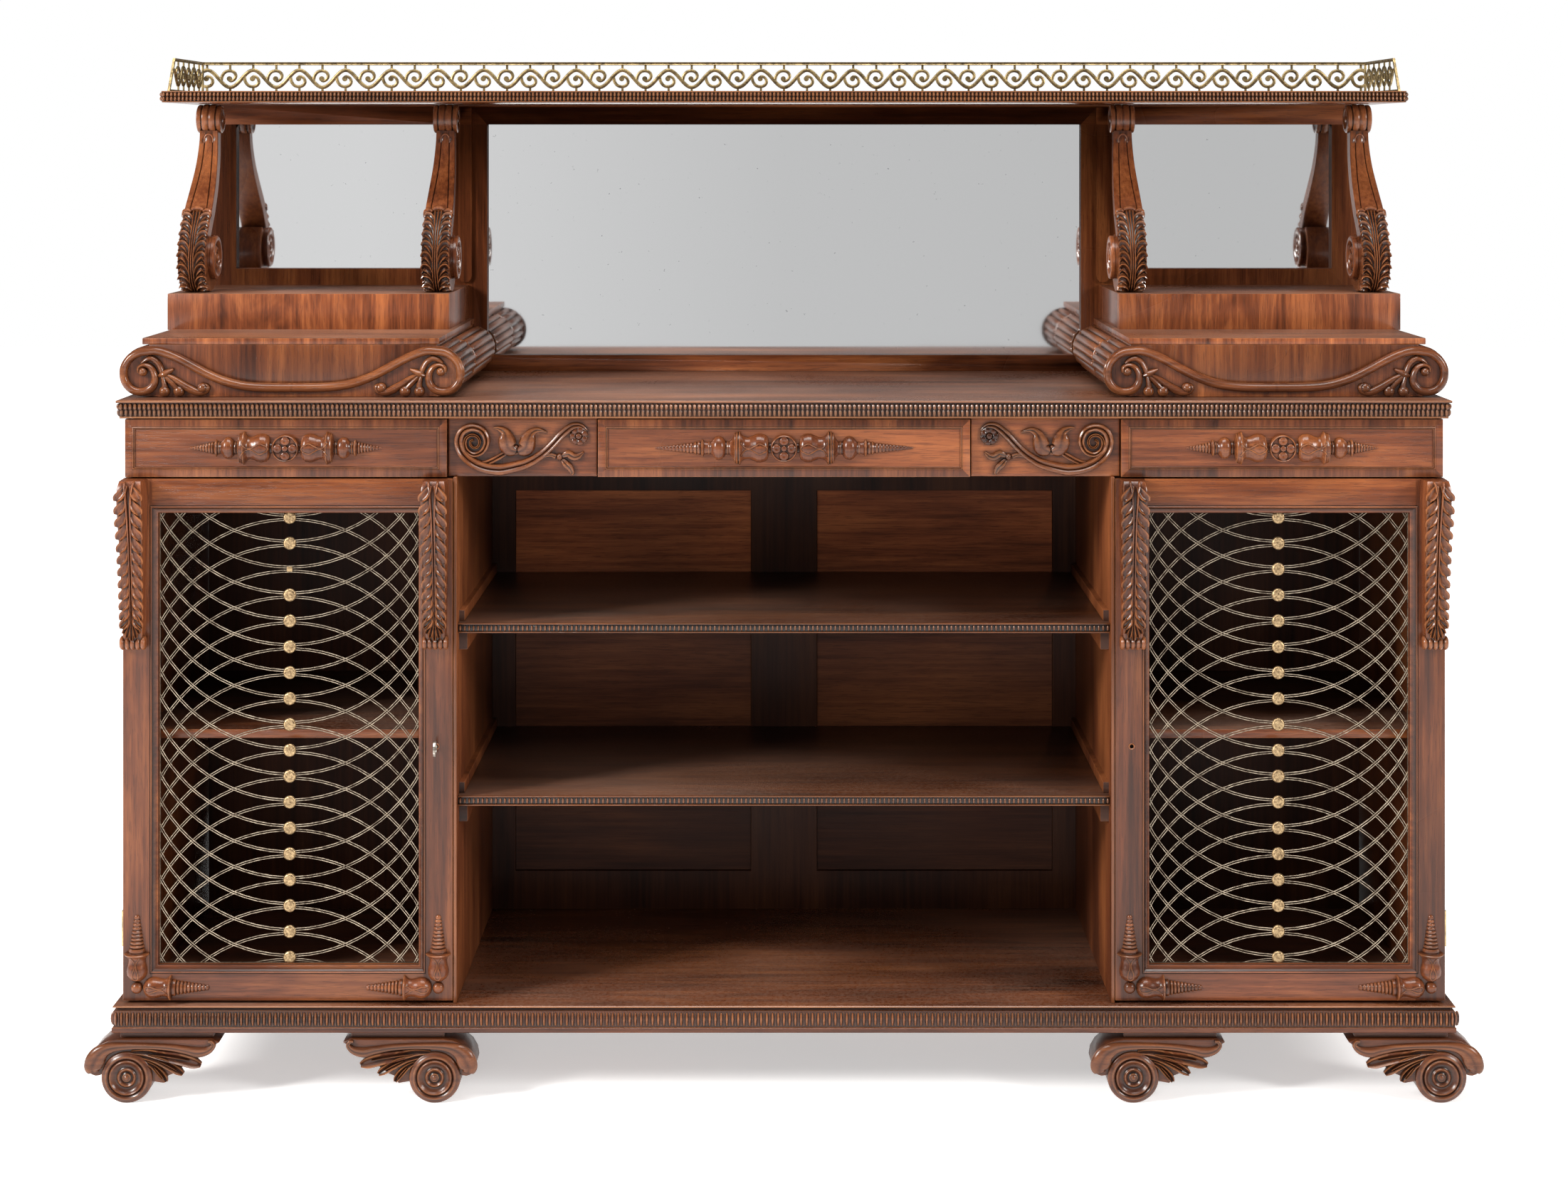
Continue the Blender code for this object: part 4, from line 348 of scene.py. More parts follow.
def setFloor():
    mat, bsdf, add, link = startMaterial("studioFloor")
    bsdf.inputs["Base Color"].default_value = (0.95, 0.95, 0.95, 1)
    bsdf.inputs["Roughness"].default_value = 0.8
    bsdf.inputs["Emission Color"].default_value = (1, 1, 1, 1)
    # the sweep gets lighter away from the object, until floor and backdrop are one white
    length = add("VectorMath", operation="LENGTH")
    link(add("TexCoord").outputs["Object"], length.inputs[0])
    sweep = add("MapRange", {"From Min": 2.0, "From Max": 7.0, "To Min": 0.44, "To Max": 0.85})
    link(length.outputs["Value"], sweep.inputs["Value"])
    link(sweep.outputs["Result"], bsdf.inputs["Emission Strength"])
    stageSheet("studioFloor", 14, Matrix(), mat)


def setMirrorCard():
    # a pale wall behind the camera that only the glossy surfaces see
    turn = Matrix.Translation((0, faceY - 4.3, 1.06)) @ Matrix.Rotation(math.pi / 2, 4, "X")
    mat = bpy.data.materials.new("paleWall")
    mat.use_nodes = True
    tree = mat.node_tree
    tree.nodes.clear()
    place = tree.nodes.new("ShaderNodeTexCoord")
    split = tree.nodes.new("ShaderNodeSeparateXYZ")
    spread = tree.nodes.new("ShaderNodeMapRange")
    spread.inputs["From Min"].default_value = -1.4
    spread.inputs["From Max"].default_value = 1.4
    ramp = tree.nodes.new("ShaderNodeValToRGB")
    left, middle, right = ((grey, grey, grey, 1) for grey in lightSettings["card"])
    ramp.color_ramp.elements[0].color = left
    ramp.color_ramp.elements[1].color = right
    ramp.color_ramp.elements.new(0.5).color = middle
    glow = tree.nodes.new("ShaderNodeEmission")
    out = tree.nodes.new("ShaderNodeOutputMaterial")
    tree.links.new(place.outputs["Object"], split.inputs[0])
    tree.links.new(split.outputs["X"], spread.inputs["Value"])
    tree.links.new(spread.outputs["Result"], ramp.inputs["Fac"])
    tree.links.new(ramp.outputs["Color"], glow.inputs["Color"])
    tree.links.new(glow.outputs[0], out.inputs["Surface"])
    wall = stageSheet("paleWall", 0.5, turn @ Matrix.Diagonal((5.2, 1.1, 1, 1)), mat)
    wall.visible_camera = wall.visible_diffuse = wall.visible_shadow = False


setCamera()
setLight()
setFloor()
setMirrorCard()


def shapeOf(node):
    # a merged copy of a CAD node
    bm = bmesh.new()
    bm.from_mesh(nodes[node].data)
    bmesh.ops.remove_doubles(bm, verts=bm.verts, dist=0.00002)
    bmesh.ops.dissolve_limit(bm, angle_limit=math.radians(1), verts=bm.verts, edges=bm.edges)
    return bm


def sliced(bm, point, normal, clear=False):
    # a cut through the whole shape; with clear, what lies beyond it goes and the hole is closed
    geom = list(bm.verts) + list(bm.edges) + list(bm.faces)
    bmesh.ops.bisect_plane(bm, geom=geom, plane_co=point, plane_no=normal, clear_outer=clear)
    if clear:
        bmesh.ops.holes_fill(bm, edges=bm.edges, sides=0)


def softenEdges(bm, width, keep=None):
    # edges round the point keep stay sharp, because another piece fits in there
    sharp = [e for e in bm.edges if len(e.link_faces) == 2 and e.calc_face_angle(0) > math.radians(25)]
    if keep:
        sharp = [e for e in sharp if all((v.co - keep).length > 0.05 for v in e.verts)]
    bmesh.ops.bevel(
        bm, geom=sharp, offset=width, offset_type="OFFSET", segments=2,
        profile=0.5, affect="EDGES", clamp_overlap=True, material=-1,
    )


def addTo(target, part, index=None):
    if index is not None:
        for face in part.faces:
            face.material_index = index
    scratch = bpy.data.meshes.new("scratch")
    part.to_mesh(scratch)
    part.free()
    target.from_mesh(scratch)
    bpy.data.meshes.remove(scratch)
    return target


def mirrored(bm):
    # the same shape for the other side of the cabinet
    other = bm.copy()
    bmesh.ops.scale(other, vec=(-1, 1, 1), verts=other.verts)
    bmesh.ops.reverse_faces(other, faces=other.faces)
    return other


shadeAndWearSettings = {"hollow": 3.2, "worn": 1.3, "still": 0.12, "mostWorn": 0.45, "rays": 7}


def paintShadeAndWear(bm):
    # hollows are darkened with painted shade, with some old wax; standing edges are rubbed bright
    s = shadeAndWearSettings
    hollow = bm.verts.layers.float.new("hollow")
    worn = bm.verts.layers.float.new("worn")
    bm.normal_update()
    broad = set()
    for face in bm.faces:
        if face.calc_area() > 0.004 * max(e.calc_length() for e in face.edges):
            broad.update(face.verts)
    for vert in bm.verts:
        if vert in broad or not vert.link_edges:
            continue
        bend = 0.0
        for edge in vert.link_edges:
            step = edge.other_vert(vert).co - vert.co
            bend += step.dot(vert.normal) / max(step.length, 0.00001)
        bend /= len(vert.link_edges)
        # painted shade, deeper where the surface is more hollow
        vert[hollow] = min(1.0, max(0.0, bend * s["hollow"]))
        vert[worn] = min(s["mostWorn"], max(0.0, -bend * s["worn"] - s["still"]))


def paintOcclusionShade(bm, reach):
    # painted shade where other carving stands close by, as ambient occlusion: short rays tell how shut in
    # each point is
    tree = BVHTree.FromBMesh(bm)
    hollow = bm.verts.layers.float["hollow"]
    worn = bm.verts.layers.float["worn"]
    rays = [math.tau * k / shadeAndWearSettings["rays"] for k in range(shadeAndWearSettings["rays"])]
    turns = [(math.cos(a) * 0.85, math.sin(a) * 0.85) for a in rays]
    for vert in bm.verts:
        out = vert.normal
        if out.length < 0.5:
            continue
        across = out.orthogonal().normalized()
        along = out.cross(across)
        start = vert.co + out * 0.00012
        shut = 0.0
        for a, b in turns:
            found, _, _, far = tree.ray_cast(start, out * 0.53 + across * a + along * b, reach)
            if found:
                shut += 1 - 0.6 * far / reach
        shut /= len(turns)
        vert[hollow] = min(1.0, vert[hollow] * 0.8 + shut * 1.25)
        vert[worn] *= 1 - min(1.0, shut * 1.5)


def gridCut(bm, step):
    # the front face is cut into small squares, so that it can take the painted shade beside the carving
    low = Vector(min(v.co[i] for v in bm.verts) for i in range(3))
    high = Vector(max(v.co[i] for v in bm.verts) for i in range(3))
    for axis in (0, 2):
        normal = (1, 0, 0) if axis == 0 else (0, 0, 1)
        count = int((high[axis] - low[axis]) / step)
        for i in range(1, count):
            place = Vector()
            place[axis] = low[axis] + (high[axis] - low[axis]) * i / count
            faces = [f for f in bm.faces if f.normal.y < -0.9 and f.calc_area() > step * step * 0.3]
            edges, verts = {e for f in faces for e in f.edges}, {v for f in faces for v in f.verts}
            geom = faces + list(edges) + list(verts)
            bmesh.ops.bisect_plane(bm, geom=geom, plane_co=place, plane_no=normal)


def camel(node):
    first, *rest = node.split("_")
    return first + "".join(word.capitalize() for word in rest)


def finishPiece(node, bm, materials, smooth=38, shadeReach=0.0):
    # the piece takes the place of its CAD node and rides on the same body
    paintShadeAndWear(bm)
    # painted shade from short rays of this reach
    if shadeReach:
        paintOcclusionShade(bm, shadeReach)
    mesh = bpy.data.meshes.new(camel(node))
    bm.to_mesh(mesh)
    bm.free()
    for mat in materials if isinstance(materials, (list, tuple)) else [materials]:
        mesh.materials.append(mat)
    mesh.shade_smooth()
    mesh.set_sharp_from_angle(angle=math.radians(smooth))
    obj = bpy.data.objects.new(camel(node), mesh)
    scene.collection.objects.link(obj)
    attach(obj, nodes[node]["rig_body"])
    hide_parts(node)


def dress(node, materials, edge=0.0009, choose=None, cuts=(), keep=None, shift=None):
    # a softened copy of a plain CAD node, cut at some heights; choose picks a face's material by its centre
    bm = shapeOf(node)
    if shift:
        for vert in bm.verts:
            vert.co.x += shift(vert.co)
    for height in cuts:
        sliced(bm, (0, 0, height), (0, 0, 1))
    if choose:
        for face in bm.faces:
            face.material_index = choose(face.calc_center_median(), face.normal)
    if edge:
        softenEdges(bm, edge, keep=keep)
    finishPiece(node, bm, materials)


def paint(node, material):
    # a CAD node that is shown as it is
    nodes[node].data.materials.clear()
    nodes[node].data.materials.append(material)


def loft(rings, closed=False):
    # rings of equally many points, skinned by a grid whose seam is merged; open ends are filled
    across, along = len(rings[0]), len(rings) - (0 if closed else 1)
    bm = bmesh.new()
    bmesh.ops.create_grid(bm, x_segments=across, y_segments=along, size=0.5)
    for vert in bm.verts:
        i = round((vert.co.x + 0.5) * across) % across
        j = round((vert.co.y + 0.5) * along) % len(rings)
        vert.co = rings[j][i]
    bmesh.ops.remove_doubles(bm, verts=bm.verts, dist=0.000001)
    bmesh.ops.holes_fill(bm, edges=bm.edges, sides=0)
    bmesh.ops.recalc_face_normals(bm, faces=bm.faces)
    return bm


def block(x, y, z, edge=0.0008):
    bm = bmesh.new()
    bmesh.ops.create_cube(bm, size=1)
    size = Vector((abs(x[1] - x[0]), abs(y[1] - y[0]), abs(z[1] - z[0])))
    centre = Vector((sum(x), sum(y), sum(z))) / 2
    bmesh.ops.scale(bm, vec=size, verts=bm.verts)
    bmesh.ops.translate(bm, vec=centre, verts=bm.verts)
    if edge:
        softenEdges(bm, edge)
    return bm


def smoothLine(points, steps):
    # a curve through all the points; each may carry its width and height as further numbers
    padded = [Vector(p) for p in (points[0], *points, points[-1])]
    line = []
    for a, b, c, d in zip(padded, padded[1:], padded[2:], padded[3:]):
        for i in range(steps):
            t = i / steps
            first = b * 2 + (c - a) * t
            line.append((first + (a * 2 - b * 5 + c * 4 - d) * t * t + (b * 3 - a - c * 3 + d) * t**3) / 2)
    line.append(padded[-1])
    return line


bars = {  # sections of carved lines: places from -1 to 1 across, and heights from 0 to 1
    "round": [
        (-1, -0.5), (-1, 0), (-0.87, 0.5), (-0.5, 0.87), (0, 1), (0.5, 0.87), (0.87, 0.5), (1, 0),
        (1, -0.5),
    ],
    "double": [
        (-1, -0.5), (-1, 0.4), (-0.82, 0.86), (-0.5, 1), (-0.16, 0.84), (0, 0.62),
        (0.16, 0.84), (0.5, 1), (0.82, 0.86), (1, 0.4), (1, -0.5),
    ],
    "flute": [
        (-1, -0.5), (-1, 0.6), (-0.8, 1), (-0.45, 0.45), (0, 0.25), (0.45, 0.45), (0.8, 1), (1, 0.6),
        (1, -0.5),
    ],
    "petal": [
        (-1, -0.5), (-1, 0.35), (-0.8, 0.8), (-0.35, 1), (0, 0.8), (0.35, 1), (0.8, 0.8), (1, 0.35),
        (1, -0.5),
    ],
}


def stroke(line, section="round", steps=5, ground=0.0):
    # a carved line on the flat: line lists (u, v, width, height) in mm; the result lies in X and Z
    path = smoothLine(line, steps)
    rings = []
    for i, here in enumerate(path):
        ahead = path[min(i + 1, len(path) - 1)] - path[max(i - 1, 0)]
        side = Vector((-ahead[1], ahead[0])).normalized() * max(here[2], 0.2) / 2
        ring = []
        for across, height in bars[section]:
            lift = ground + (height * here[3] if height > 0 else -1.5)
            ring.append(Vector((here[0] + side.x * across, -lift, here[1] + side.y * across)) / 1000)
        rings.append(ring)
    return loft(rings)


def knob(u, v, radius, height, ground=0.0, steps=8):
    # a small round bud on the flat
    bm = bmesh.new()
    shape = Matrix.Diagonal((radius / 1000, height / 1000, radius / 1000, 1))
    bmesh.ops.create_uvsphere(bm, u_segments=steps, v_segments=max(4, steps - 2), radius=1, matrix=shape)
    bmesh.ops.translate(bm, vec=Vector((u, -ground, v)) / 1000, verts=bm.verts)
    return bm


def medallion(radius, height, rings=16, spokes=48, sunk=1.5):
    # a round boss on the flat: height(r, angle) in mm
    circles = [[(radius, a, -sunk) for a in range(spokes)]]
    for j in range(rings + 1):
        r = radius * (1 - j / rings)
        circles.append([(r, a, height(r, math.tau * a / spokes)) for a in range(spokes)])
    middle = sum(h for r, a, h in circles[-1]) / spokes
    circles[-1] = [(0, a, middle) for a in range(spokes)]
    points = []
    for circle in circles:
        ring = []
        for r, a, h in circle:
            turn = math.tau * a / spokes
            ring.append(Vector((r * math.cos(turn), -h, r * math.sin(turn))) / 1000)
        points.append(ring)
    return loft(points)


def petals(count, radius, high, button=0.22):
    # the height of a rosette with round petals
    def height(r, angle):
        share = r / radius
        turn = (angle * count / math.tau) % 1 - 0.5
        across = abs(turn) * 2 * math.sin(math.pi / count) * share / 0.42
        along = (share - 0.6) / 0.4
        dome = max(0.0, 1 - across**2 * 1.1 - along**2)
        rise = high * (0.35 + 0.65 * math.sqrt(dome))
        if share < button:
            rise = max(rise, high * (0.55 + 0.5 * math.sqrt(1 - (share / button) ** 2)))
        return rise if share < 0.985 else 0.0

    return height


def spun(profile, axis="Y", steps=32):
    # profile lists (radius, distance) in mm
    bm = bmesh.new()
    aim = {"X": Vector((1, 0, 0)), "Y": Vector((0, 1, 0)), "Z": Vector((0, 0, 1))}[axis]
    out = {"X": Vector((0, 0, 1)), "Y": Vector((1, 0, 0)), "Z": Vector((1, 0, 0))}[axis]
    verts = [bm.verts.new((out * r + aim * d) / 1000) for r, d in profile]
    edges = [bm.edges.new(pair) for pair in zip(verts, verts[1:])]
    bmesh.ops.spin(
        bm, geom=verts + edges, cent=(0, 0, 0), axis=aim, angle=math.tau,
        steps=steps, use_merge=True, use_duplicate=False,
    )
    bmesh.ops.remove_doubles(bm, verts=bm.verts, dist=0.000001)
    bmesh.ops.recalc_face_normals(bm, faces=bm.faces)
    return bm


def moved(bm, place, turn=None):
    if turn:
        bmesh.ops.transform(bm, matrix=turn, verts=bm.verts)
    bmesh.ops.translate(bm, vec=Vector(place), verts=bm.verts)
    return bm


def curveOf(profile):
    # the value of a (place, value) list between its points
    def value(place):
        if place <= profile[0][0]:
            return profile[0][1]
        for (a, first), (b, second) in zip(profile, profile[1:]):
            if place <= b:
                return first + (second - first) * (place - a) / (b - a)
        return profile[-1][1]

    return value


def halfTurned(profile, direction, squash=0.85, sides=18, spacing=1.0, carve=None, sunk=1.0):
    # a turned form split in half and laid on the flat; profile lists (distance, radius) in mm
    along = Vector(direction)
    across = Vector((-along.z, 0, along.x))
    places = []
    for (a, first), (b, second) in zip(profile, profile[1:]):
        count = max(1, round((b - a) / spacing))
        places += [(a + (b - a) * i / count, first + (second - first) * i / count) for i in range(count)]
    places.append(profile[-1])
    rings = []
    for d, r in places:
        ring = []
        for i in range(sides + 1):
            angle = math.pi * i / sides
            reach = max(r + (carve(d, r * math.cos(angle)) if carve else 0), 0.3)
            point = along * d + across * (reach * math.cos(angle))
            point.y = sunk - reach * squash * math.sin(angle)
            ring.append(point / 1000)
        rings.append(ring)
    return loft(rings)


def mouldedBoard(halfWidth, front, back, levels):
    # a board whose front and sides follow a moulding: levels are (height, projection) in metres
    rings = []
    for height, out in levels:
        x, y = halfWidth + out, front - out
        corners = ((-x, y), (x, y), (x, back), (-x, back))
        rings.append([Vector((*corner, height)) for corner in corners])
    return loft(rings)


def joined(parts):
    # merge the parts two by two, which stays quick for hundreds of them
    parts = list(parts)
    while len(parts) > 1:
        pairs = [addTo(a, b) for a, b in zip(parts[::2], parts[1::2])]
        parts = pairs + parts[len(pairs) * 2:]
    return parts[0]


def repeated(bm, step, count):
    # copies of one small shape at even steps, doubled until there are enough
    size = (len(bm.verts), len(bm.edges), len(bm.faces))
    made = 1
    while made < count:
        extra = min(made, count - made)
        geom = []
        for found, each in zip((bm.verts, bm.edges, bm.faces), size):
            geom += list(found)[: each * extra]
        copy = bmesh.ops.duplicate(bm, geom=geom)["geom"]
        fresh = [item for item in copy if isinstance(item, bmesh.types.BMVert)]
        bmesh.ops.translate(bm, vec=Vector(step) * made, verts=fresh)
        made += extra
    return bm


def beadRow(start, end, pitch, size, steps=(8, 5)):
    # beads along a straight edge; size is (along the edge, outwards, upwards) in metres
    start, end = Vector(start), Vector(end)
    run = end - start
    count = max(1, round(run.length / pitch))
    turn = Matrix.Rotation(math.atan2(run.y, run.x), 4, "Z")
    place = Matrix.Translation(start + run * (0.5 / count))
    bm = bmesh.new()
    shape = place @ turn @ Matrix.Diagonal((size[0] / 2, size[1] / 2, size[2] / 2, 1))
    bmesh.ops.create_uvsphere(bm, u_segments=steps[0], v_segments=steps[1], radius=1, matrix=shape)
    return repeated(bm, run / count, count)


def beadsRound(halfWidth, front, back, out, height, pitch, size, steps=(8, 5)):
    # beads on the front and both sides of a board
    x, y = halfWidth + out, front - out
    runs = (((-x, y), (x, y)), ((-x, back), (-x, y)), ((x, y), (x, back)))
    return joined(beadRow((*start, height), (*end, height), pitch, size, steps) for start, end in runs)


def cutAway(bm, cutters):
    # subtract closed shapes with an exact Boolean, through scratch objects
    made = []
    for part in (bm, joined(cutters)):
        mesh = bpy.data.meshes.new("scratch")
        part.to_mesh(mesh)
        part.free()
        obj = bpy.data.objects.new("scratch", mesh)
        scene.collection.objects.link(obj)
        made.append(obj)
    tool = made[0].modifiers.new("cut", "BOOLEAN")
    tool.operation = "DIFFERENCE"
    tool.solver = "EXACT"
    tool.object = made[1]
    bpy.context.view_layer.update()
    result = bpy.data.meshes.new_from_object(made[0].evaluated_get(bpy.context.evaluated_depsgraph_get()))
    cut = bmesh.new()
    cut.from_mesh(result)
    bpy.data.meshes.remove(result)
    for obj in made:
        mesh = obj.data
        bpy.data.objects.remove(obj)
        bpy.data.meshes.remove(mesh)
    return cut


def bent(bm, surface):
    # lay flat carving on a curved face: surface(u, v) gives a point and its outward direction, in mm
    for vert in bm.verts:
        point, out = surface(vert.co.x * 1000, vert.co.z * 1000)
        vert.co = (point + out * (-vert.co.y * 1000)) / 1000
    bmesh.ops.recalc_face_normals(bm, faces=bm.faces)
    return bm


def tubeAlong(points, radius, sides=6):
    # a thin round moulding; points in metres
    rings = []
    for i, here in enumerate(points):
        ahead = (points[min(i + 1, len(points) - 1)] - points[max(i - 1, 0)]).normalized()
        side = ahead.cross(Vector((0, 1, 0)))
        side = side.normalized() if side.length > 0.01 else Vector((1, 0, 0))
        lift = side.cross(ahead)
        turns = [math.tau * k / sides for k in range(sides)]
        rings.append([here + (side * math.cos(a) + lift * math.sin(a)) * radius for a in turns])
    return loft(rings)


def loopOn(profile, direction, line, squash=0.85, sunk=1.0, radius=0.75):
    # a raised teardrop on a half-turned form: line lists (distance, half its width) in mm
    along = Vector(direction)
    across = Vector((-along.z, 0, along.x))
    size = curveOf(profile)
    fine = smoothLine(line, 4)
    parts = []
    for way in (-1, 1):
        points = []
        for d, w in fine:
            r = max(size(d), 0.5)
            angle = math.acos(max(-0.98, min(0.98, way * max(w, 0) / r)))
            point = along * d + across * (r * math.cos(angle))
            point.y = sunk - r * squash * math.sin(angle)
            points.append(point / 1000)
        parts.append(tubeAlong(points, radius / 1000))
    return joined(parts)


sides = (("left", -1), ("right", 1))
doorway = {"inner": 0.4655, "outer": 0.9288, "base": 0.1405, "top": 0.8735}  # a door's outline, to the right
mirrorSettings = {
    "topRail": 0.0305, "lowRail": 0.0255, "middleRail": 0.163, "sideGlass": (0.524, 0.873),
    # from, to and step: parts of the frame that stand further out than in the solids, as in the photograph
    "outwards": ((0.455, 0.510, 0.010), (0.860, 0.876, 0.0032), (0.88, 0.95, 0.016)),
}


def boardMix(c, n):
    # the second material on faces that look up
    return 1 if n.z > 0.5 else 0


def topsApart(bm, undersides=False):
    bm.normal_update()
    for face in bm.faces:
        face.material_index = 1 if face.normal.z > 0.5 or (undersides and face.normal.z < -0.5) else 0


def widerGlass(co):
    for inner, outer, step in mirrorSettings["outwards"]:
        if inner < abs(co.x) < outer:
            return math.copysign(step, co.x)
    return 0


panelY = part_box("back_panel")[0].y + 0.0035  # between the frame's face and the sunk panels
shelfLevels = [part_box(f"niche_shelf_{level}")[1].z - 0.006 for level in ("lower", "upper")]


def backShadeLevel(z):
    # painted light and shade: the back is brightest in the top opening and darkest in the lowest, by how the
    # light falls
    return 2 if z > shelfLevels[1] else 0 if z > shelfLevels[0] else 3


# carcass
for word, side in sides:
    dress(f"end_panel_{word}", wood["z"])
    # recessed faces that look forward take the darkest back wood: painted shade
    dress(
        f"partition_{word}", [wood["z"], wood["nicheSide"], wood["backLower"]],
        keep=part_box(f"lock_bolt_{word}")[0],
        choose=lambda c, n: 0 if c.y < faceY + 0.004 else 2 if n.y < -0.5 else 1,
    )
    dress(f"cupboard_shelf_{word}", [wood["x"], wood["dusty"]], choose=boardMix)
    dress(f"foot_rear_{word}", wood["z"])
    dress(f"mirror_glass_{word}", mirrorSilver, edge=0, shift=widerGlass)
    paint(f"lock_bolt_{word}", metal["steel"])
    for level in ("upper", "lower"):
        for leaf in ("carcass_leaf", "door_leaf"):
            paint(f"hinge_{level}_{word}_{leaf}", metal["hinge"])
dress("dust_board", wood["inside"])
dress("mirror_backboard", wood["inside"], shift=widerGlass)
dress("mirror_glass_centre", mirrorSilver, edge=0, shift=widerGlass)
# the sunk panels take painted light at the top and painted shade lower down, by their height
dress(
    "back_panel", [wood["back"], wood["backUpright"], wood["backUpper"], wood["backLower"]],
    cuts=shelfLevels,
    choose=lambda c, n: backShadeLevel(c.z) if n.y < -0.5 and c.y > panelY else 1,
)


def dressMirrorFrame():
    # stiles run upright; the rails over, under and between the glasses run across
    s = mirrorSettings
    low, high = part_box("mirror_frame")
    near, far = s["sideGlass"]

    def member(c, n):
        if c.z > high.z - s["topRail"] + 0.0005 or c.z < low.z + s["lowRail"] - 0.0005:
            return 1
        return 1 if near < abs(c.x) < far and c.z < low.z + s["middleRail"] else 0

    cuts = [high.z - s["topRail"], low.z + s["lowRail"]]
    dress("mirror_frame", [wood["z"], wood["x"]], choose=member, cuts=cuts, shift=widerGlass)


pedestalSettings = {"step": (0.4914, 0.9140), "box": (0.4998, 0.9198), "thick": 0.0089, "setback": 0.1831}


def makePedestal(word, side):
    # a thin step board with a veneered box that stands back on it
    s = pedestalSettings
    node = f"pedestal_{word}"
    low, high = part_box(node)
    top = low.z + s["thick"]
    parts = []
    rows = (("step", low.y, (low.z, top)), ("box", low.y + s["setback"], (top - 0.001, high.z)))
    for key, front, heights in rows:
        parts.append(block(sorted(side * x for x in s[key]), (front, high.y), heights, 0.0009))
    bm = joined(parts)
    topsApart(bm)
    finishPiece(node, bm, [wood["flame"], wood["top"]])


dressMirrorFrame()
for word, side in sides:
    makePedestal(word, side)
print("carcass dressed")


# boards with beaded edges; levels are (height, projection) from the underside, "top" from the upper face
boardSettings = {
    "plinth": {
        "half": 0.9288, "pitch": 0.0080, "bead": (0.0044, 0.0088, 0.0190), "rib": (0.0022, 0.0084, 0.0215),
        "row": 0.0190, "levels": [
            (0, 0.0117), (0.0008, 0.0127), (0.0066, 0.0127), (0.0074, 0.0119), (0.0080, 0.0105),
            (0.0300, 0.0105), (0.0306, 0.0062), (0.0325, 0.0058), (0.0345, 0.0078), (0.0352, 0.0117),
        ],
        "top": [(-0.0008, 0.0117), (0, 0.0109)],
    },
    "slab": {
        "half": 0.9288, "pitch": 0.0066, "bead": (0.0056, 0.0084, 0.0096), "reed": (0.0054, 0.0086, 0.0118),
        "levels": [
            (0, 0.0032), (0.0006, 0.0040), (0.0028, 0.0040), (0.0033, 0.0030), (0.0216, 0.0030),
            (0.0222, 0.0080),
        ],
        "top": [(-0.0010, 0.0084), (0, 0.0074)],
    },
    "topBoard": {
        "half": 0.9275, "setback": 0.229, "pitch": 0.0058, "bead": (0.0050, 0.0076, 0.0074),
        "rows": (0.0054, 0.0116),
        "levels": [
            (0, -0.0012), (0.0006, -0.0004), (0.0016, -0.0004), (0.0020, -0.0022), (0.0150, -0.0022),
            (0.0154, 0.0),
        ],
        "top": [(-0.0004, 0.0), (0, -0.0006)],
    },
    "shelf": {"pitch": 0.0063, "bead": (0.0036, 0.0042, 0.0088)},
}


def bareBoard(key, node, front, undersides=False):
    s = boardSettings[key]
    low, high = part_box(node)
    levels = [(low.z + z, out) for z, out in s["levels"]] + [(high.z + z, out) for z, out in s["top"]]
    bm = mouldedBoard(s["half"], front, high.y, levels)
    topsApart(bm, undersides)
    return s, bm, low.z, high.y


def makePlinth():
    s, bm, base, back = bareBoard("plinth", "plinth_base", faceY)
    middle = base + s["row"]
    addTo(bm, beadsRound(s["half"], faceY, back, 0.0112, middle, s["pitch"], s["bead"], (8, 6)), 2)
    ribs = beadsRound(s["half"], faceY, back, 0.0108, middle, s["pitch"], s["rib"], (5, 5))
    front = [v for v in ribs.verts if v.co.y < faceY - 0.006]
    bmesh.ops.translate(ribs, vec=(s["pitch"] / 2, 0, 0), verts=front)
    addTo(bm, ribs, 0)
    finishPiece("plinth_base", bm, [wood["beads"], wood["top"], wood["carvedX"]], shadeReach=0.006)


def makeSlab():
    s, bm, base, back = bareBoard("slab", "top_slab", faceY)
    for height, out, size, index in ((0.0166, 0.0048, s["bead"], 0), (0.0082, 0.0040, s["reed"], 2)):
        addTo(bm, beadsRound(s["half"], faceY, back, out, base + height, s["pitch"], size), index)
    finishPiece("top_slab", bm, [wood["beads"], wood["top"], wood["inside"]], shadeReach=0.005)


def makeTopBoard():
    front = faceY + boardSettings["topBoard"]["setback"]
    s, bm, base, back = bareBoard("topBoard", "top_board", front, undersides=True)
    for height in s["rows"]:
        addTo(bm, beadsRound(s["half"], front, back, -0.0004, base + height, s["pitch"], s["bead"]), 0)
    finishPiece("top_board", bm, [wood["beads"], wood["top"]], shadeReach=0.005)


def makeNicheShelf(word):
    s = boardSettings["shelf"]
    node = f"niche_shelf_{word}"
    low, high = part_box(node)
    bm = block((low.x, high.x), (low.y + 0.0030, high.y), (low.z, high.z), 0.0006)
    topsApart(bm)
    for z in ((low.z, low.z + 0.0018), (high.z - 0.0022, high.z)):
        addTo(bm, block((low.x, high.x), (low.y + 0.0006, low.y + 0.0040), z, 0.0006), 0)
    y, z = low.y + 0.0026, low.z + 0.0066
    addTo(bm, beadRow((low.x, y, z), (high.x, y, z), s["pitch"], s["bead"]), 0)
    finishPiece(node, bm, [wood["beads"], wood["shelf"]], shadeReach=0.005)


makePlinth()
makeSlab()
makeTopBoard()
makeNicheShelf("upper")
makeNicheShelf("lower")
print("beaded boards made")


grilleSettings = {
    "radius": 207.0, "pitch": 36.5, "apart": 1.45, "wire": 0.74, "clear": 2.9,
    "rosette": 9.2, "border": (0.0423, 0.0494), "hold": 0.0458,
    "missing": 2,  # the rosette that the left grille has lost, counted from the top one as 0
}


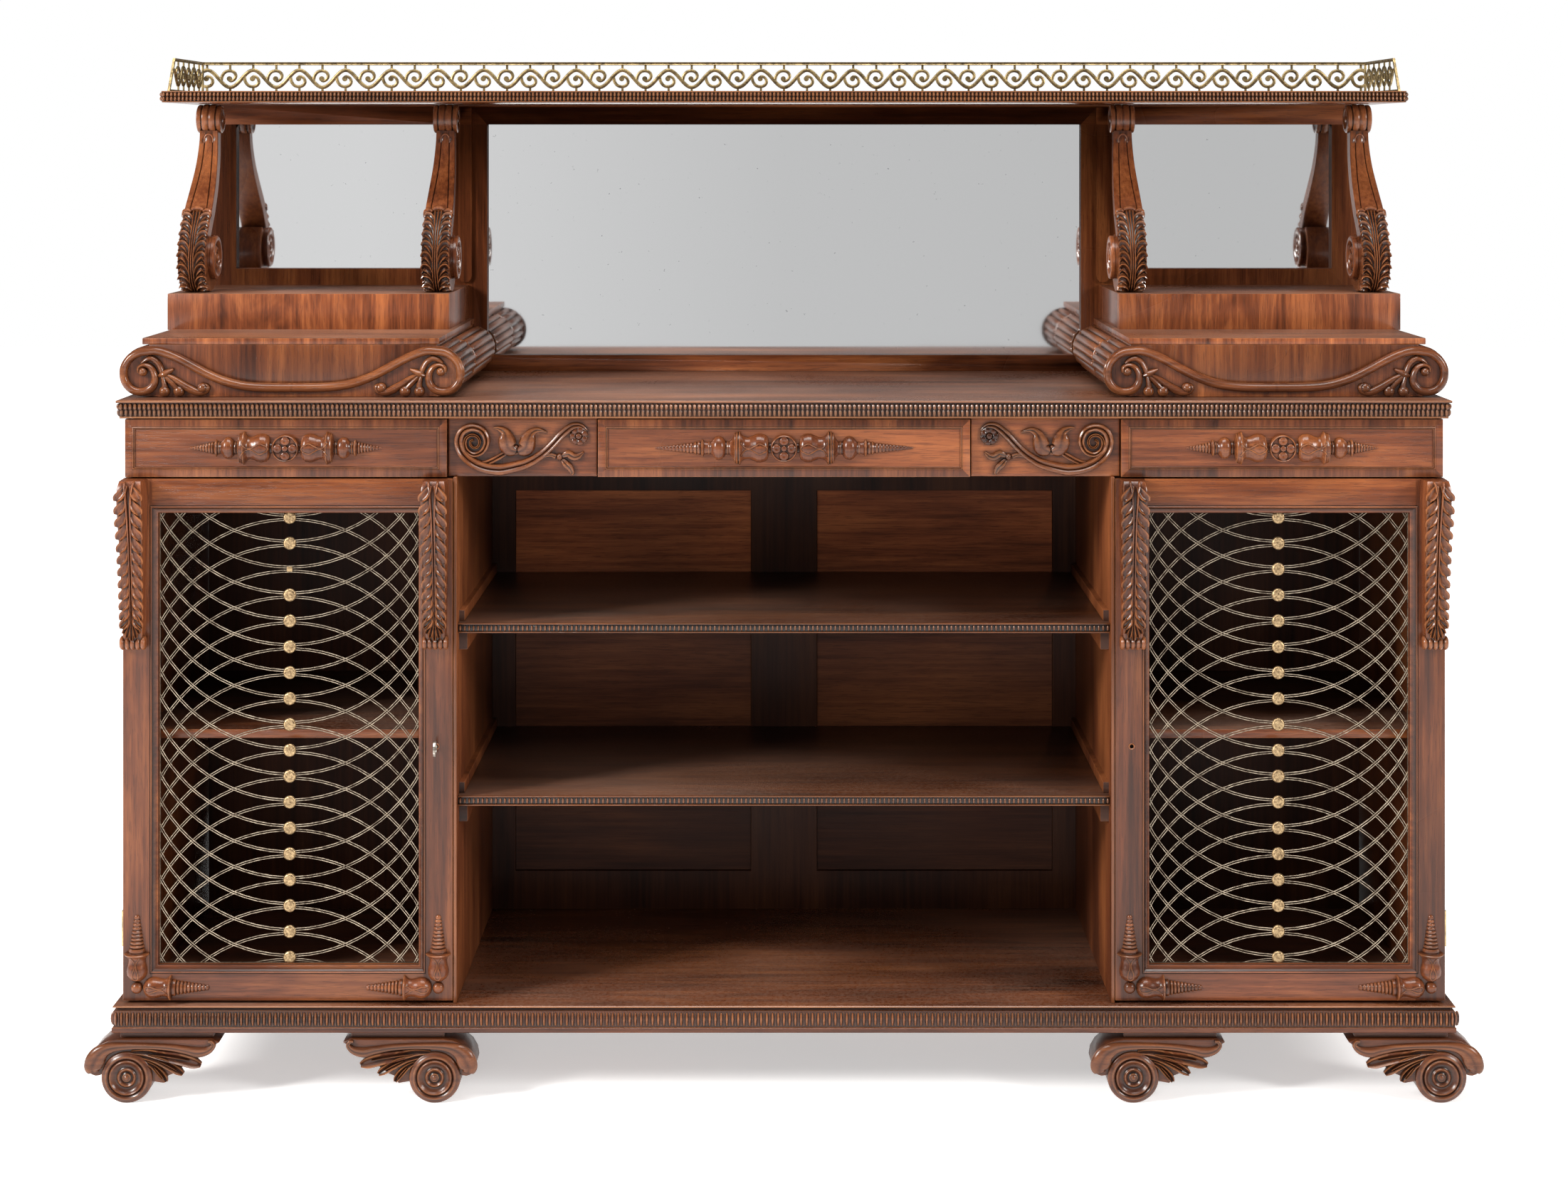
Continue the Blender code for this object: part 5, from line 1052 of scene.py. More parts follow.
def grilleArcs(start, up, halfWidth, low, high):
    # the parts of one arc, as angles from its middle, that lie inside the border
    radius = grilleSettings["radius"]
    widest = math.asin(halfWidth / radius)
    near, far = (low - start, high - start) if up > 0 else (start - high, start - low)
    if far <= 0 or near >= radius * (1 - math.cos(widest)):
        return []
    first = math.acos(1 - near / radius) if near > 0 else 0.0
    last = min(widest, math.acos(max(-1, 1 - far / radius)))
    if last - first < 0.05:
        return []
    return [(first, last), (-last, -first)] if first else [(-last, last)]


def makeGrille(word, side):
    s = grilleSettings
    node = f"grille_{word}"
    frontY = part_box(node)[0].y
    inner, outer, base, top = doorway.values()
    middleX = side * (inner + outer) / 2
    halfWidth = ((outer - inner) / 2 - s["hold"]) * 1000
    lowZ, highZ = (base + s["hold"]) * 1000, (top - s["hold"]) * 1000
    count = int((highZ - lowZ) / s["pitch"]) + 1
    middleZ = (lowZ + highZ) / 2
    wires, pins = [], []
    rings = []
    for inset, y in ((0, 0.0055), (0, 0.0015), (1, 0.0015), (1, 0.0055)):
        a = s["border"][inset]
        x0, x1, z0, z1 = side * (inner + a), side * (outer - a), base + a, top - a
        rings.append([Vector((x, frontY + y, z)) for x, z in ((x0, z0), (x1, z0), (x1, z1), (x0, z1))])
    wires.append(loft(rings, closed=True))
    for up, depth in ((1, 0.0027), (-1, 0.0044)):
        for i in range(-4, count + 4):
            start = middleZ + (i - (count - 1) / 2) * s["pitch"] + up * s["clear"]
            for first, last in grilleArcs(start, up, halfWidth, lowZ, highZ):
                steps = max(2, round((last - first) / 0.09))
                for apart in (-s["apart"], s["apart"]):
                    points = []
                    for k in range(steps + 1):
                        angle = first + (last - first) * k / steps
                        reach = s["radius"] + apart
                        x = middleX * 1000 + reach * math.sin(angle)
                        z = start + up * (s["radius"] - reach * math.cos(angle))
                        points.append(Vector((x, (frontY + depth) * 1000, z)) / 1000)
                    wires.append(tubeAlong(points, s["wire"] / 1000))
    for i in range(count):
        height = middleZ + (i - (count - 1) / 2) * s["pitch"]
        if not lowZ + 6 < height < highZ - 6:
            continue
        place = Vector((middleX, frontY + 0.0022, height / 1000))
        if side < 0 and i == count - 1 - s["missing"]:  # only the square clip is left
            pins.append(moved(block((-0.004, 0.004), (-0.0012, 0.0012), (-0.0035, 0.0035), 0.0006), place))
            continue
        rosette = medallion(s["rosette"], petals(9, s["rosette"], 2.2, 0.3), rings=6, spokes=36, sunk=2.0)
        pins.append(moved(rosette, place))
    bm = joined(wires)
    addTo(bm, joined(pins), 1)
    finishPiece(node, bm, [metal["lattice"], metal["rosette"]], 50)


for word, side in sides:
    makeGrille(word, side)
print("grilles made")


gallerySettings = {
    "wave": 13.7, "strip": 5.6, "thick": 1.5, "peg": 3.4, "pitch": 36.7, "eye": 4.1,
    "band": (1.5, 46.6), "middle": 24.6,  # the lower and upper strip's inner edge, and the wave's middle
    "half": 0.9245, "back": 0.502, "front": 0.262, "slope": 0.038, "tall": 0.051,
    "hook": [
        (-14.6, -4.2, 5.0), (-12.6, 4.5, 4.8), (-7.9, 10.6, 4.8), (-1.1, 12.6, 4.8), (5.7, 10.6, 4.8),
        (9.0, 4.9, 4.8), (6.6, -1.1, 4.4), (1.1, -3.9, 4.0), (-2.9, -1.6, 3.6),
    ],
}


def ribbonAlong(line, thick):
    # a flat brass ribbon cut from sheet: line lists (u, v, width)
    rings = []
    for i, here in enumerate(line):
        ahead = line[min(i + 1, len(line) - 1)] - line[max(i - 1, 0)]
        side = Vector((-ahead[1], ahead[0])).normalized() * here[2] / 2
        ring = []
        for across, depth in ((-1, 1), (-1, -0.5), (-0.7, -1), (0.7, -1), (1, -0.5), (1, 1)):
            ring.append(Vector((here[0] + side.x * across, depth * thick, here[1] + side.y * across)))
        rings.append(ring)
    return loft(rings)


def galleryRun(length):
    # one straight run, drawn along X in mm
    s = gallerySettings
    (low, high), middle, pitch = s["band"], s["middle"], s["pitch"]
    reach = int((length / 2 - 4) / pitch)
    parts = []
    wave = []
    steps = round(length / pitch * 10)
    for i in range(steps + 1):
        u = length * (i / steps - 0.5)
        wave.append(Vector((u, middle - s["wave"] * math.cos(math.pi * u / pitch), s["strip"])))
    parts.append(ribbonAlong(wave, s["thick"]))
    for i in range(-reach, reach + 1):
        sign = 1 if i % 2 else -1  # the wave's crest is over or under this hook
        hook = smoothLine([(pitch * i + u, middle - sign * v, w) for u, v, w in s["hook"]], 3)
        parts.append(ribbonAlong(hook, s["thick"] * 0.92))
        eye = bmesh.new()
        place = Matrix.Translation((pitch * i - 1.2, 0, middle)) @ Matrix.Rotation(math.pi / 2, 4, "X")
        bmesh.ops.create_cone(
            eye, cap_ends=True, segments=12, radius1=s["eye"], radius2=s["eye"],
            depth=s["thick"] * 2.2, matrix=place,
        )
        parts.append(eye)
        crest = middle + sign * s["wave"]
        hookTop = middle - sign * 12.6
        for edge, start in ((high if sign > 0 else low, crest), (low if sign > 0 else high, hookTop)):
            z = sorted((edge, start))
            parts.append(block((pitch * i - s["peg"] / 2, pitch * i + s["peg"] / 2), (-1.1, 1.1), z, 0))
    bm = joined(parts)
    bmesh.ops.scale(bm, vec=(0.001, 0.001, 0.001), verts=bm.verts)
    return bm


def railAround(base, rise, section):
    # a rail on three sides, whose ends slope back; section lists (outwards, upwards) in metres
    s = gallerySettings
    rings = []
    for out, up in section:
        z = base + rise
        front = faceY + s["front"] + s["slope"] * (rise + up) / s["tall"]
        x, y = s["half"] + out, faceY + s["back"] + out
        corners = ((-x, front), (-x, y), (x, y), (x, front))
        rings.append([Vector((*corner, z + up)) for corner in corners])
    ends = [list(ring) for ring in zip(*rings)]
    return loft(ends)


def makeGallery():
    s = gallerySettings
    low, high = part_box("gallery")
    half, back, front, slope = s["half"], faceY + s["back"], faceY + s["front"], s["slope"]
    base = [(-0.0019, 0), (0.0019, 0), (0.0019, 0.0022), (0.0012, 0.003), (-0.0012, 0.003), (-0.0019, 0.0022)]
    bm = railAround(low.z, 0, base)
    rail = [
        (-0.0012, 0), (0.0012, 0), (0.0020, 0.0006), (0.0020, 0.0016), (0.0013, 0.0022), (0.0020, 0.0028),
        (0.0020, 0.0044), (0.0010, 0.0050), (-0.0010, 0.0050), (-0.0020, 0.0044), (-0.0020, 0.0028),
        (-0.0013, 0.0022), (-0.0020, 0.0016), (-0.0020, 0.0006),
    ]
    addTo(bm, railAround(low.z, high.z - 0.0050 - low.z, rail))
    addTo(bm, moved(galleryRun(2000 * half), (0, back, low.z)))
    start = front + slope + 0.002
    for side in (-1, 1):
        turn = Matrix.Rotation(math.pi / 2, 4, "Z")
        addTo(bm, moved(galleryRun((back - start) * 1000), (side * half, (back + start) / 2, low.z), turn))
        rings = []
        for z in (low.z + 0.001, high.z - 0.001):
            y = front + slope * (z - low.z) / s["tall"]
            corners = ((-0.0017, 0.0003), (0.0017, 0.0003), (0.0017, 0.0058), (-0.0017, 0.0058))
            rings.append([Vector((side * half + a, y + b, z)) for a, b in corners])
        addTo(bm, loft(rings))
        corner = (side * half - 0.0017, side * half + 0.0017), (back - 0.0017, back + 0.0017)
        addTo(bm, block(*corner, (low.z + 0.001, high.z - 0.001), 0.0004))
    finishPiece("gallery", bm, metal["gallery"], 50)


makeGallery()
print("gallery made")


doorSettings = {
    **doorway, "stile": 0.0412, "corner": (0.020, 0.0185),
    "profile": [  # inwards and backwards from the front outer edge, in mm
        (0.7, 24.0), (0.0, 23.3), (0.0, 0.8), (0.3, 0.25), (0.9, 0.0), (37.4, 0.0), (37.8, 0.7),
        (38.3, 0.7), (38.6, -0.3), (39.2, -0.8), (40.0, -0.8), (40.6, -0.3), (41.0, 0.7), (43.0, 2.9),
        (45.6, 4.6), (47.4, 5.2), (48.2, 5.9), (48.6, 7.2), (49.0, 7.8), (49.0, 13.5), (42.0, 13.5),
        (42.0, 24.0),
    ],
    "lock": 0.4975, "keyhole": 0.4885, "keyholeRadius": 2.8, "hinges": (0.2355, 0.7785),
    "finial": [
        (9, 3), (10, 7), (13, 11), (18, 14.2), (23, 15), (28, 14.4), (34, 12.8), (38, 12.3), (41, 12.8),
        (44, 14.5), (46.5, 17.5), (47.6, 18), (48.5, 17.2), (49, 13), (50, 11.6), (52, 12), (54.5, 11.6),
        (55.5, 9.8),
    ],
    "loop": [
        (13, 0.3), (15, 3.2), (19, 4.2), (24, 3.4), (30, 1.2), (33, 0.8), (37, 1.2), (41, 3.6), (45, 6.4),
    ],
    "cone": (56, 101, 5, 10.4, 4.2), "ball": 8.2,
}


def ringedCone(start, end, pitch, first, last):
    # the rings at the end of a finial, each a small rounded step; first and last are their radii
    line = []
    count = round((end - start) / pitch)
    for i in range(count):
        size = first + (last - first) * i / (count - 1)
        at = start + pitch * i
        line += [(at + pitch * share, size * k) for share, k in ((0, 0.86), (0.3, 1), (0.65, 1), (0.9, 0.86))]
    return line + [(end, last * 0.8), (end + 1.2, 0.4)]


def makeDoorFrame(word, side):
    s = doorSettings
    node = f"door_frame_{word}"
    rings = []
    for inset, depth in s["profile"]:
        a = inset / 1000
        x0, x1, z0, z1 = side * (s["inner"] + a), side * (s["outer"] - a), s["base"] + a, s["top"] - a
        y = faceY + depth / 1000
        rings.append([Vector((x, y, z)) for x, z in ((x0, z0), (x1, z0), (x1, z1), (x0, z1))])
    bm = loft(rings, closed=True)
    cutters = []
    for middle in s["hinges"]:
        x = (side * (s["outer"] - 0.0163), side * (s["outer"] + 0.004))
        cutters.append(block(x, (faceY + 0.0221, faceY + 0.028), (middle - 0.0253, middle + 0.0253), 0))
    x = (side * (s["inner"] - 0.004), side * (s["inner"] + 0.0343))
    cutters.append(block(x, (faceY + 0.0127, faceY + 0.0183), (s["lock"] - 0.0063, s["lock"] + 0.0063), 0))
    hole = bmesh.new()
    r = s["keyholeRadius"]
    place = Matrix.Translation((side * s["keyhole"], faceY + 0.0045, s["lock"]))
    bmesh.ops.create_cone(
        hole, cap_ends=True, segments=16, radius1=r / 1000, radius2=r / 1000, depth=0.017,
        matrix=place @ Matrix.Rotation(math.pi / 2, 4, "X"),
    )
    cutters.append(hole)
    bm = cutAway(bm, cutters)
    near, far = s["inner"] + s["stile"], s["outer"] - s["stile"]
    for x in (near, far):
        sliced(bm, (side * x, 0, 0), (1, 0, 0))
    for face in bm.faces:
        face.material_index = 1 if near + 0.0001 < abs(face.calc_center_median().x) < far - 0.0001 else 0
    # a small turned rim round the keyhole
    rim = [(r, 1.5), (r, -0.5), (r + 0.5, -1.0), (r + 1.5, -0.9), (r + 2, -0.3), (r + 2, 1.5), (r, 1.5)]
    addTo(bm, moved(spun(rim, "Y", 20), (side * s["keyhole"], faceY, s["lock"])), 2)
    finial = s["finial"] + ringedCone(*s["cone"])
    across, up = s["corner"]
    for x, inward in ((s["outer"] - across, -side), (s["inner"] + across, side)):
        place = (side * x, faceY, s["base"] + up)
        for direction in ((0, 0, 1), (inward, 0, 0)):
            body = halfTurned(finial, direction, squash=1.0, sides=16, spacing=1.6)
            addTo(bm, moved(body, place), 2)
            addTo(bm, moved(loopOn(finial, direction, s["loop"], squash=1.0, radius=1.0), place), 2)
        addTo(bm, moved(knob(0, 0, s["ball"], s["ball"] * 0.9, 1.0, 18), place), 2)
    finishPiece(node, bm, [wood["z"], wood["x"], wood["carvedX"]], shadeReach=0.005)


corbelSettings = {
    "outer": 0.9118, "inner": 0.4885, "length": 228.0,
    "depth": [
        (0, 34), (3, 37), (8, 39.5), (18, 41), (30, 40.6), (52, 37.5), (90, 30.5), (138, 24.5), (190, 20),
        (220, 18.5), (238, 17),
    ],
    "half": [(0, 16.6), (10, 18.2), (30, 18.9), (60, 18.4), (140, 16.2), (238, 14.6)],
    "crown": [  # the rounded front: place across, and how far it drops back
        (-1, 3.2), (-0.97, 1.4), (-0.86, 0.5), (-0.5, 0.1), (0, 0), (0.5, 0.1), (0.86, 0.5), (0.97, 1.4),
        (1, 3.2),
    ],
    "tips": [26, 45, 63, 81, 99, 116, 133, 150, 166, 181, 195, 207],
    "rib": [
        (6.5, 0.5, 3.2, 2.6), (3.6, -24, 3.4, 3.2), (2.2, -60, 3.4, 3.0), (1.9, -140, 3.0, 2.6),
        (1.6, -206, 2.4, 2.4),
    ],
    "fan": ((-14.5, -205), (-11, -214), (-6.4, -220), (0, -223.5), (6.4, -220), (11, -214), (14.5, -205)),
    "reeds": 5, "wide": 18.2,
}


def makeCorbel(word, side, place):
    s = corbelSettings
    node = f"corbel_{place}_{word}"
    x = side * s[place] * 1000
    top = doorSettings["top"] * 1000
    depth, half = curveOf(s["depth"]), curveOf(s["half"])
    front = faceY * 1000 - 0.3
    rings = []
    stops = 46
    for j in range(stops + 1):
        t = s["length"] * j / stops
        w, d = half(t) - 1.2, depth(t) - 2.6
        flank = [(w + 1.0, 0.0), (w + 1.0, d * 0.4), (w + 0.4, d * 0.5)]
        ring = [(-a, b) for a, b in flank] + [(w * a, d - drop) for a, drop in s["crown"]] + flank[::-1]
        rings.append([Vector((x + a, front - b, top - t)) / 1000 for a, b in ring])
    parts = [loft(rings)]

    def surface(u, v):
        t = max(0.0, -v)
        crown = 0.5 * (u / 16) ** 2
        slope = max(-0.3, min(0.12, (depth(t + 2) - depth(max(t - 2, 0))) / 4))
        out = Vector((u * 0.012, -1, -slope)).normalized()
        return Vector((x + u, front - depth(t) + crown, top - t)), out

    carving = []
    for tip in s["tips"]:
        reach = half(tip) - 2.4
        for way in (-1, 1):
            lobe = [
                (way * 3.4, -(tip - 21), 4, 1.0), (way * 6.4, -(tip - 15), 9, 2.8),
                (way * reach * 0.60, -(tip - 9), 13, 4.4), (way * reach * 0.86, -(tip - 4), 12.5, 5.0),
                (way * reach * 0.98, -(tip + 0.5), 7, 3.8),
            ]
            carving.append(stroke(lobe, "flute", 4))
    for way in (-1, 1):  # two ribs down the middle
        carving.append(stroke([(way * u, v, w, h) for u, v, w, h in s["rib"]], "round", 5))
    for u, v in s["fan"]:  # the rays at the leaf's tip start together
        root = -190
        sizes = ((0.45, 4.5, 2.6), (0.85, 6, 3.8), (1, 4.2, 4.6))
        ray = [(u * 0.12, root, 2, 1.5)] + [(u * k, root + (v - root) * k, w, h) for k, w, h in sizes]
        carving.append(stroke(ray, "flute", 3))
    parts.append(bent(joined(carving), surface))
    # the reeded roll under the leaf
    reeds, wide = s["reeds"], s["wide"]
    line = [(0, -wide)]
    for i in range(reeds):
        for share, r in ((0.04, 7.4), (0.2, 9.2), (0.5, 10), (0.8, 9.2), (0.96, 7.4)):
            line.append((r, -wide + 2 * wide * (i + share) / reeds))
    line.append((0, wide))
    place = Vector((x, front - 9.5, top - s["length"] - 0.5)) / 1000
    parts.append(moved(spun(line, "X", 24), place))
    bm = joined(parts)
    trimBehind(bm, front / 1000)
    finishPiece(node, bm, wood["carved"], shadeReach=0.007)


def trimBehind(bm, y):
    # nothing goes back past the face that the carving is glued to
    for vert in bm.verts:
        vert.co.y = min(vert.co.y, y)


for word, side in sides:
    makeDoorFrame(word, side)
    for place in ("outer", "inner"):
        makeCorbel(word, side, place)
print("doors made")


drawerSettings = {
    "base": 0.876, "top": 0.957, "half": 0.2615, "inner": 0.474, "outer": 0.926,
    "profile": [  # inwards and backwards, in mm
        (0.3, 22.0), (0.0, 21.7), (0.0, 0.7), (0.2, 0.2), (0.7, 0.0), (10.2, 0.0), (10.5, 0.5),
        (10.8, -0.5), (11.4, -0.8), (12.0, -0.5), (12.3, 0.7), (12.7, 0.9), (13.0, 0.3), (13.6, 0.3),
        (14.0, 1.2), (14.6, 2.0),
    ],
    "border": 0.0135, "boxBase": 0.8884, "boxTop": 0.9464, "wall": 0.010, "bottom": 0.006,
}

handleSettings = {
    "centre": [
        (17.0, 7), (19.0, 7), (21.5, 8), (22, 13), (23.5, 16.5), (27, 19), (33, 20.6), (38, 20.4),
        (43, 18), (48, 15.8), (51, 15.4), (55, 16.2), (58, 18), (60.5, 21.5), (62, 23.6), (63, 23.8),
        (63.6, 22.6), (64.6, 22.4), (65.6, 23.9), (67, 22.4), (68, 21.6), (69.2, 21.9), (70.3, 19),
        (73, 13.5), (75.5, 10.5), (77.5, 9.4), (79, 10.2), (80.6, 9.2), (82, 9.6), (84, 12.8), (87, 15.6),
        (91.5, 17.2), (96, 16), (99.5, 13), (101.8, 9.8), (103.5, 8.8), (105.5, 9.6), (107, 8.6),
        (109.5, 8.9), (112, 9.2), (113.5, 11.8), (115, 13.2), (116.2, 11), (117.4, 9), (119, 9.8),
        (121, 9.4), (122.3, 8), (124, 9.6), (126, 8.6), (127.5, 7.2),
    ],
    "centreCone": (128, 180, 4.9, 7.8, 1.6),
    "side": [
        (17.0, 7), (19.0, 7), (21.5, 8), (22, 13), (24, 17), (28, 19.6), (35, 20.6), (41, 19), (46, 16.6),
        (50, 15.6), (53, 16.6), (55.5, 20), (57.5, 23.4), (58.6, 23.6), (60, 22), (62.5, 21.4),
        (63.6, 20.6), (64.6, 21), (66, 17), (67.5, 11), (69, 8.8), (70.5, 9.6), (72, 9), (73.5, 11.6),
        (77, 14.6), (81, 15.6), (85, 14.6), (88.5, 11.4), (90.5, 8.8), (92, 8.4), (93.5, 9.6), (95, 8.8),
        (96.5, 11.4), (98, 12.2), (99.2, 10), (100.5, 8.2),
    ],
    "sideCone": (101, 134, 4.1, 8.6, 1.8),
    "loop": [
        (23.5, 0.4), (25.5, 3.6), (29, 5.4), (34.5, 7.3), (41, 4.2), (47, 1.0), (52, 0.9), (56, 3.0),
        (60.5, 9),
    ],
    "rosette": 19.0,
}


def makeDrawer(word, x0, x1):
    s = drawerSettings
    node = f"drawer_{word}"
    low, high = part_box(node)
    rings = []
    for inset, depth in s["profile"]:
        a, y = inset / 1000, faceY + depth / 1000
        l, r, b, t = x0 + a, x1 - a, s["base"] + a, s["top"] - a
        rings.append([Vector((x, y, z)) for x, z in ((l, b), (r, b), (r, t), (l, t))])
    front = loft(rings)
    for face in front.faces:
        centre = face.calc_center_median()
        b = s["border"]
        inside = x0 + b < centre.x < x1 - b and s["base"] + b < centre.z < s["top"] - b
        upright = centre.x < x0 + 0.0150 or centre.x > x1 - 0.0150
        face.material_index = 0 if inside else 2 if upright else 1
    # the box behind the front is an open oak tray
    b0, b1, back, wall = max(low.x, x0), min(high.x, x1), high.y, s["wall"]
    inner = (s["boxBase"] + s["bottom"], s["boxTop"] + 0.01)
    tray = block((b0, b1), (faceY + 0.0215, back), (s["boxBase"], s["boxTop"]), 0)
    tray = cutAway(tray, [block((b0 + wall, b1 - wall), (faceY + 0.0222, back - wall), inner, 0)])
    softenEdges(tray, 0.0008)
    finishPiece(node, addTo(front, tray, 3), [wood["x"], wood["z"], wood["x"], wood["oak"]])


def roundPetals(r, angle):
    # four round petals in a rim, with a button in the middle
    turn = (angle + math.pi / 4) % (math.pi / 2) - math.pi / 4
    u, v = r * math.cos(turn), r * math.sin(turn)
    rise = 8.0
    away = math.hypot(u - 10.4, v) / 6.4
    if away < 1:
        rise += 1.2 + 2.6 * math.sqrt(1 - away * away)
        if away < 0.5:
            rise -= 1.6 * (1 - away * 2)
    if r > 16.4:
        rise = max(rise, 9.0 + 1.8 * max(0.0, 1 - ((r - 17.6) / 1.3) ** 2))
    if r < 4.2:
        rise = max(rise, 10.2 + 2.0 * math.sqrt(1 - (r / 4.3) ** 2))
    return rise


def makeHandle(word, x):
    s = handleSettings
    kind = "centre" if word == "centre" else "side"
    node = f"drawer_handle_{word}"
    profile = s[kind] + ringedCone(*s[kind + "Cone"])
    parts = []
    for way in (-1, 1):
        parts.append(halfTurned(profile, (way, 0, 0), squash=0.8, sides=22, spacing=1.5, sunk=0.0))
        parts.append(loopOn(profile, (way, 0, 0), s["loop"], squash=0.8, sunk=0.0, radius=1.05))
    parts.append(medallion(s["rosette"], roundPetals, rings=26, spokes=64, sunk=0))
    bm = moved(joined(parts), (x, faceY + 0.0017, (drawerSettings["base"] + drawerSettings["top"]) / 2))
    trimBehind(bm, faceY + 0.0017)
    finishPiece(node, bm, wood["carvedX"], shadeReach=0.005)


friezeSettings = {
    "centre": (0.437, 0.924), "face": 9.0, "boldness": 1.45, "breadth": 1.22,
    "stem": [
        (159, 16, 4, 1.5), (151, 23.1, 6, 3), (141, 23.1, 8, 4), (133, 18.6, 9, 4.5), (123, 9.6, 10, 5),
        (113, -1.4, 10, 5), (103, -11.4, 10, 5), (93, -19.4, 10.5, 5), (78, -28.4, 11.5, 5.5),
        (63, -33.4, 12.5, 5.5), (43, -37.9, 13, 6), (33, -38.4, 13, 6), (18, -36.4, 12.8, 6),
        (3, -30.9, 12.4, 6), (-9, -22.4, 12, 6), (-17, -12.4, 11.6, 6.2), (-20.5, 0.6, 11.2, 6.4),
        (-18, 11.6, 10.6, 6.6), (-11, 18.6, 10, 6.6), (0, 21.1, 9.4, 6.4), (12, 16.6, 8.8, 6.2),
        (18, 6.6, 8.2, 6), (18, -3.4, 7.6, 5.8), (12, -13.4, 7, 5.6), (1, -17.4, 6.4, 5.4),
        (-8, -12.4, 5.8, 5.2), (-12, -3.4, 5.2, 5), (-10, 6.1, 4.6, 4.8), (-2, 10.6, 4.2, 4.8),
        (6, 7.6, 3.8, 4.6), (9, 0.6, 3.4, 4.6), (6, -6.4, 3.2, 4.4), (0, -7.4, 3, 4.4), (-4, -3.4, 3, 4.4),
        (-4, 1.6, 3, 4.4), (0, 3.6, 3, 4.4),
    ],
    "second": [
        (2, -31, 5, 3), (12, -30.4, 6.5, 4), (23, -27.4, 7, 4.5), (38, -19.4, 7, 4.5), (49, -12.4, 6, 4),
    ],
    "tulip": [  # two leaves and the stem
        [
            (60, -13.4, 9, 4), (50, -8.4, 19, 6), (46.5, 3.6, 19.5, 6.8), (44, 14.2, 11, 5.5),
            (36, 19.2, 6, 4), (28, 20.4, 2, 2.5),
        ],
        [
            (63, -13.4, 9, 4), (73, -8.4, 19, 6), (77, 3.6, 18, 6.8), (82, 13.4, 11, 5.5),
            (91, 17.4, 6, 4), (103, 14.2, 2, 2.5),
        ],
        [(41, -9.4, 3, 3), (53, -15.4, 3.6, 4), (66, -15.4, 3, 3)],
    ],
    "bell": [  # the bell flower's stem and its two lips
        [(98, -19.4, 5, 4), (108, -17.4, 5, 4), (116, -20.4, 6, 4)],
        [
            (125, -19.4, 5, 3), (133, -16.4, 9, 5), (141, -20.4, 9, 5), (148, -19.4, 7, 4),
            (155, -13.4, 2.5, 2.5),
        ],
        [
            (125, -24.4, 5, 3), (130, -30.4, 8.5, 5), (136, -36.4, 8, 4.5), (139, -43.4, 5, 3),
            (138, -46.0, 2, 2),
        ],
    ],
    "buds": [(60, -6.4, 3.4, 6.5), (121, -20.4, 5.2, 6.5)],
    "rosette": (148, 8.6, 13.0),
}


def flowerHeight(r, angle):
    # seven notched petals round a button
    share = r / friezeSettings["rosette"][2]
    turn = (angle * 7 / math.tau) % 1 - 0.5
    edge = 0.80 + 0.2 * math.sqrt(max(0.0, 1 - (turn * 2) ** 2))
    if r < 4.0:
        return 4.2 + 1.8 * math.sqrt(1 - (r / 4.05) ** 2)
    if share > edge:
        return 0.6
    away = (share - 0.68) / 0.34
    return 2.0 + 2.6 * math.sqrt(max(0.0, 1 - away * away)) * (1 - 0.55 * (turn * 2) ** 2)


def makeFriezePanel(word, side):
    s = friezeSettings
    node = f"frieze_panel_{word}"
    bm = shapeOf(node)
    # the carving is cut off flush with the panel and made anew
    face = faceY + s["face"] / 1000
    sliced(bm, (0, face + 0.0004, 0), (0, -1, 0), clear=True)
    softenEdges(bm, 0.0006)
    gridCut(bm, 0.004)
    lines = [(s["stem"], "double", 4), (s["second"], "double", 5)]
    lines += [(line, "petal", 5) for line in s["tulip"] + s["bell"]]
    parts = []
    for line, section, steps in lines:
        # nothing stands over the panel's edges
        line = [(u, max(-44, min(27, v)), w * s["breadth"], h * s["boldness"]) for u, v, w, h in line]
        parts.append(stroke(line, section, steps))
    for u, v, radius, height in s["buds"]:
        parts.append(knob(u, v, radius, height, 0, 14))
    u, v, radius = s["rosette"]
    parts.append(moved(medallion(radius, flowerHeight, rings=18, spokes=84), (u / 1000, 0, v / 1000)))
    carving = joined(parts)
    if side > 0:
        carving = mirrored(carving)
    addTo(bm, moved(carving, (side * s["centre"][0], face, s["centre"][1])), 1)
    finishPiece(node, bm, [wood["x"], wood["carvedX"]], shadeReach=0.007)


s = drawerSettings
makeDrawer("left", -s["outer"], -s["inner"])
makeDrawer("centre", -s["half"], s["half"])
makeDrawer("right", s["inner"], s["outer"])
middle = (s["inner"] + s["outer"]) / 2
for word, x in (("left", -middle), ("centre", 0), ("right", middle)):
    makeHandle(word, x)
for word, side in sides:
    makeFriezePanel(word, side)
print("drawers and frieze made")


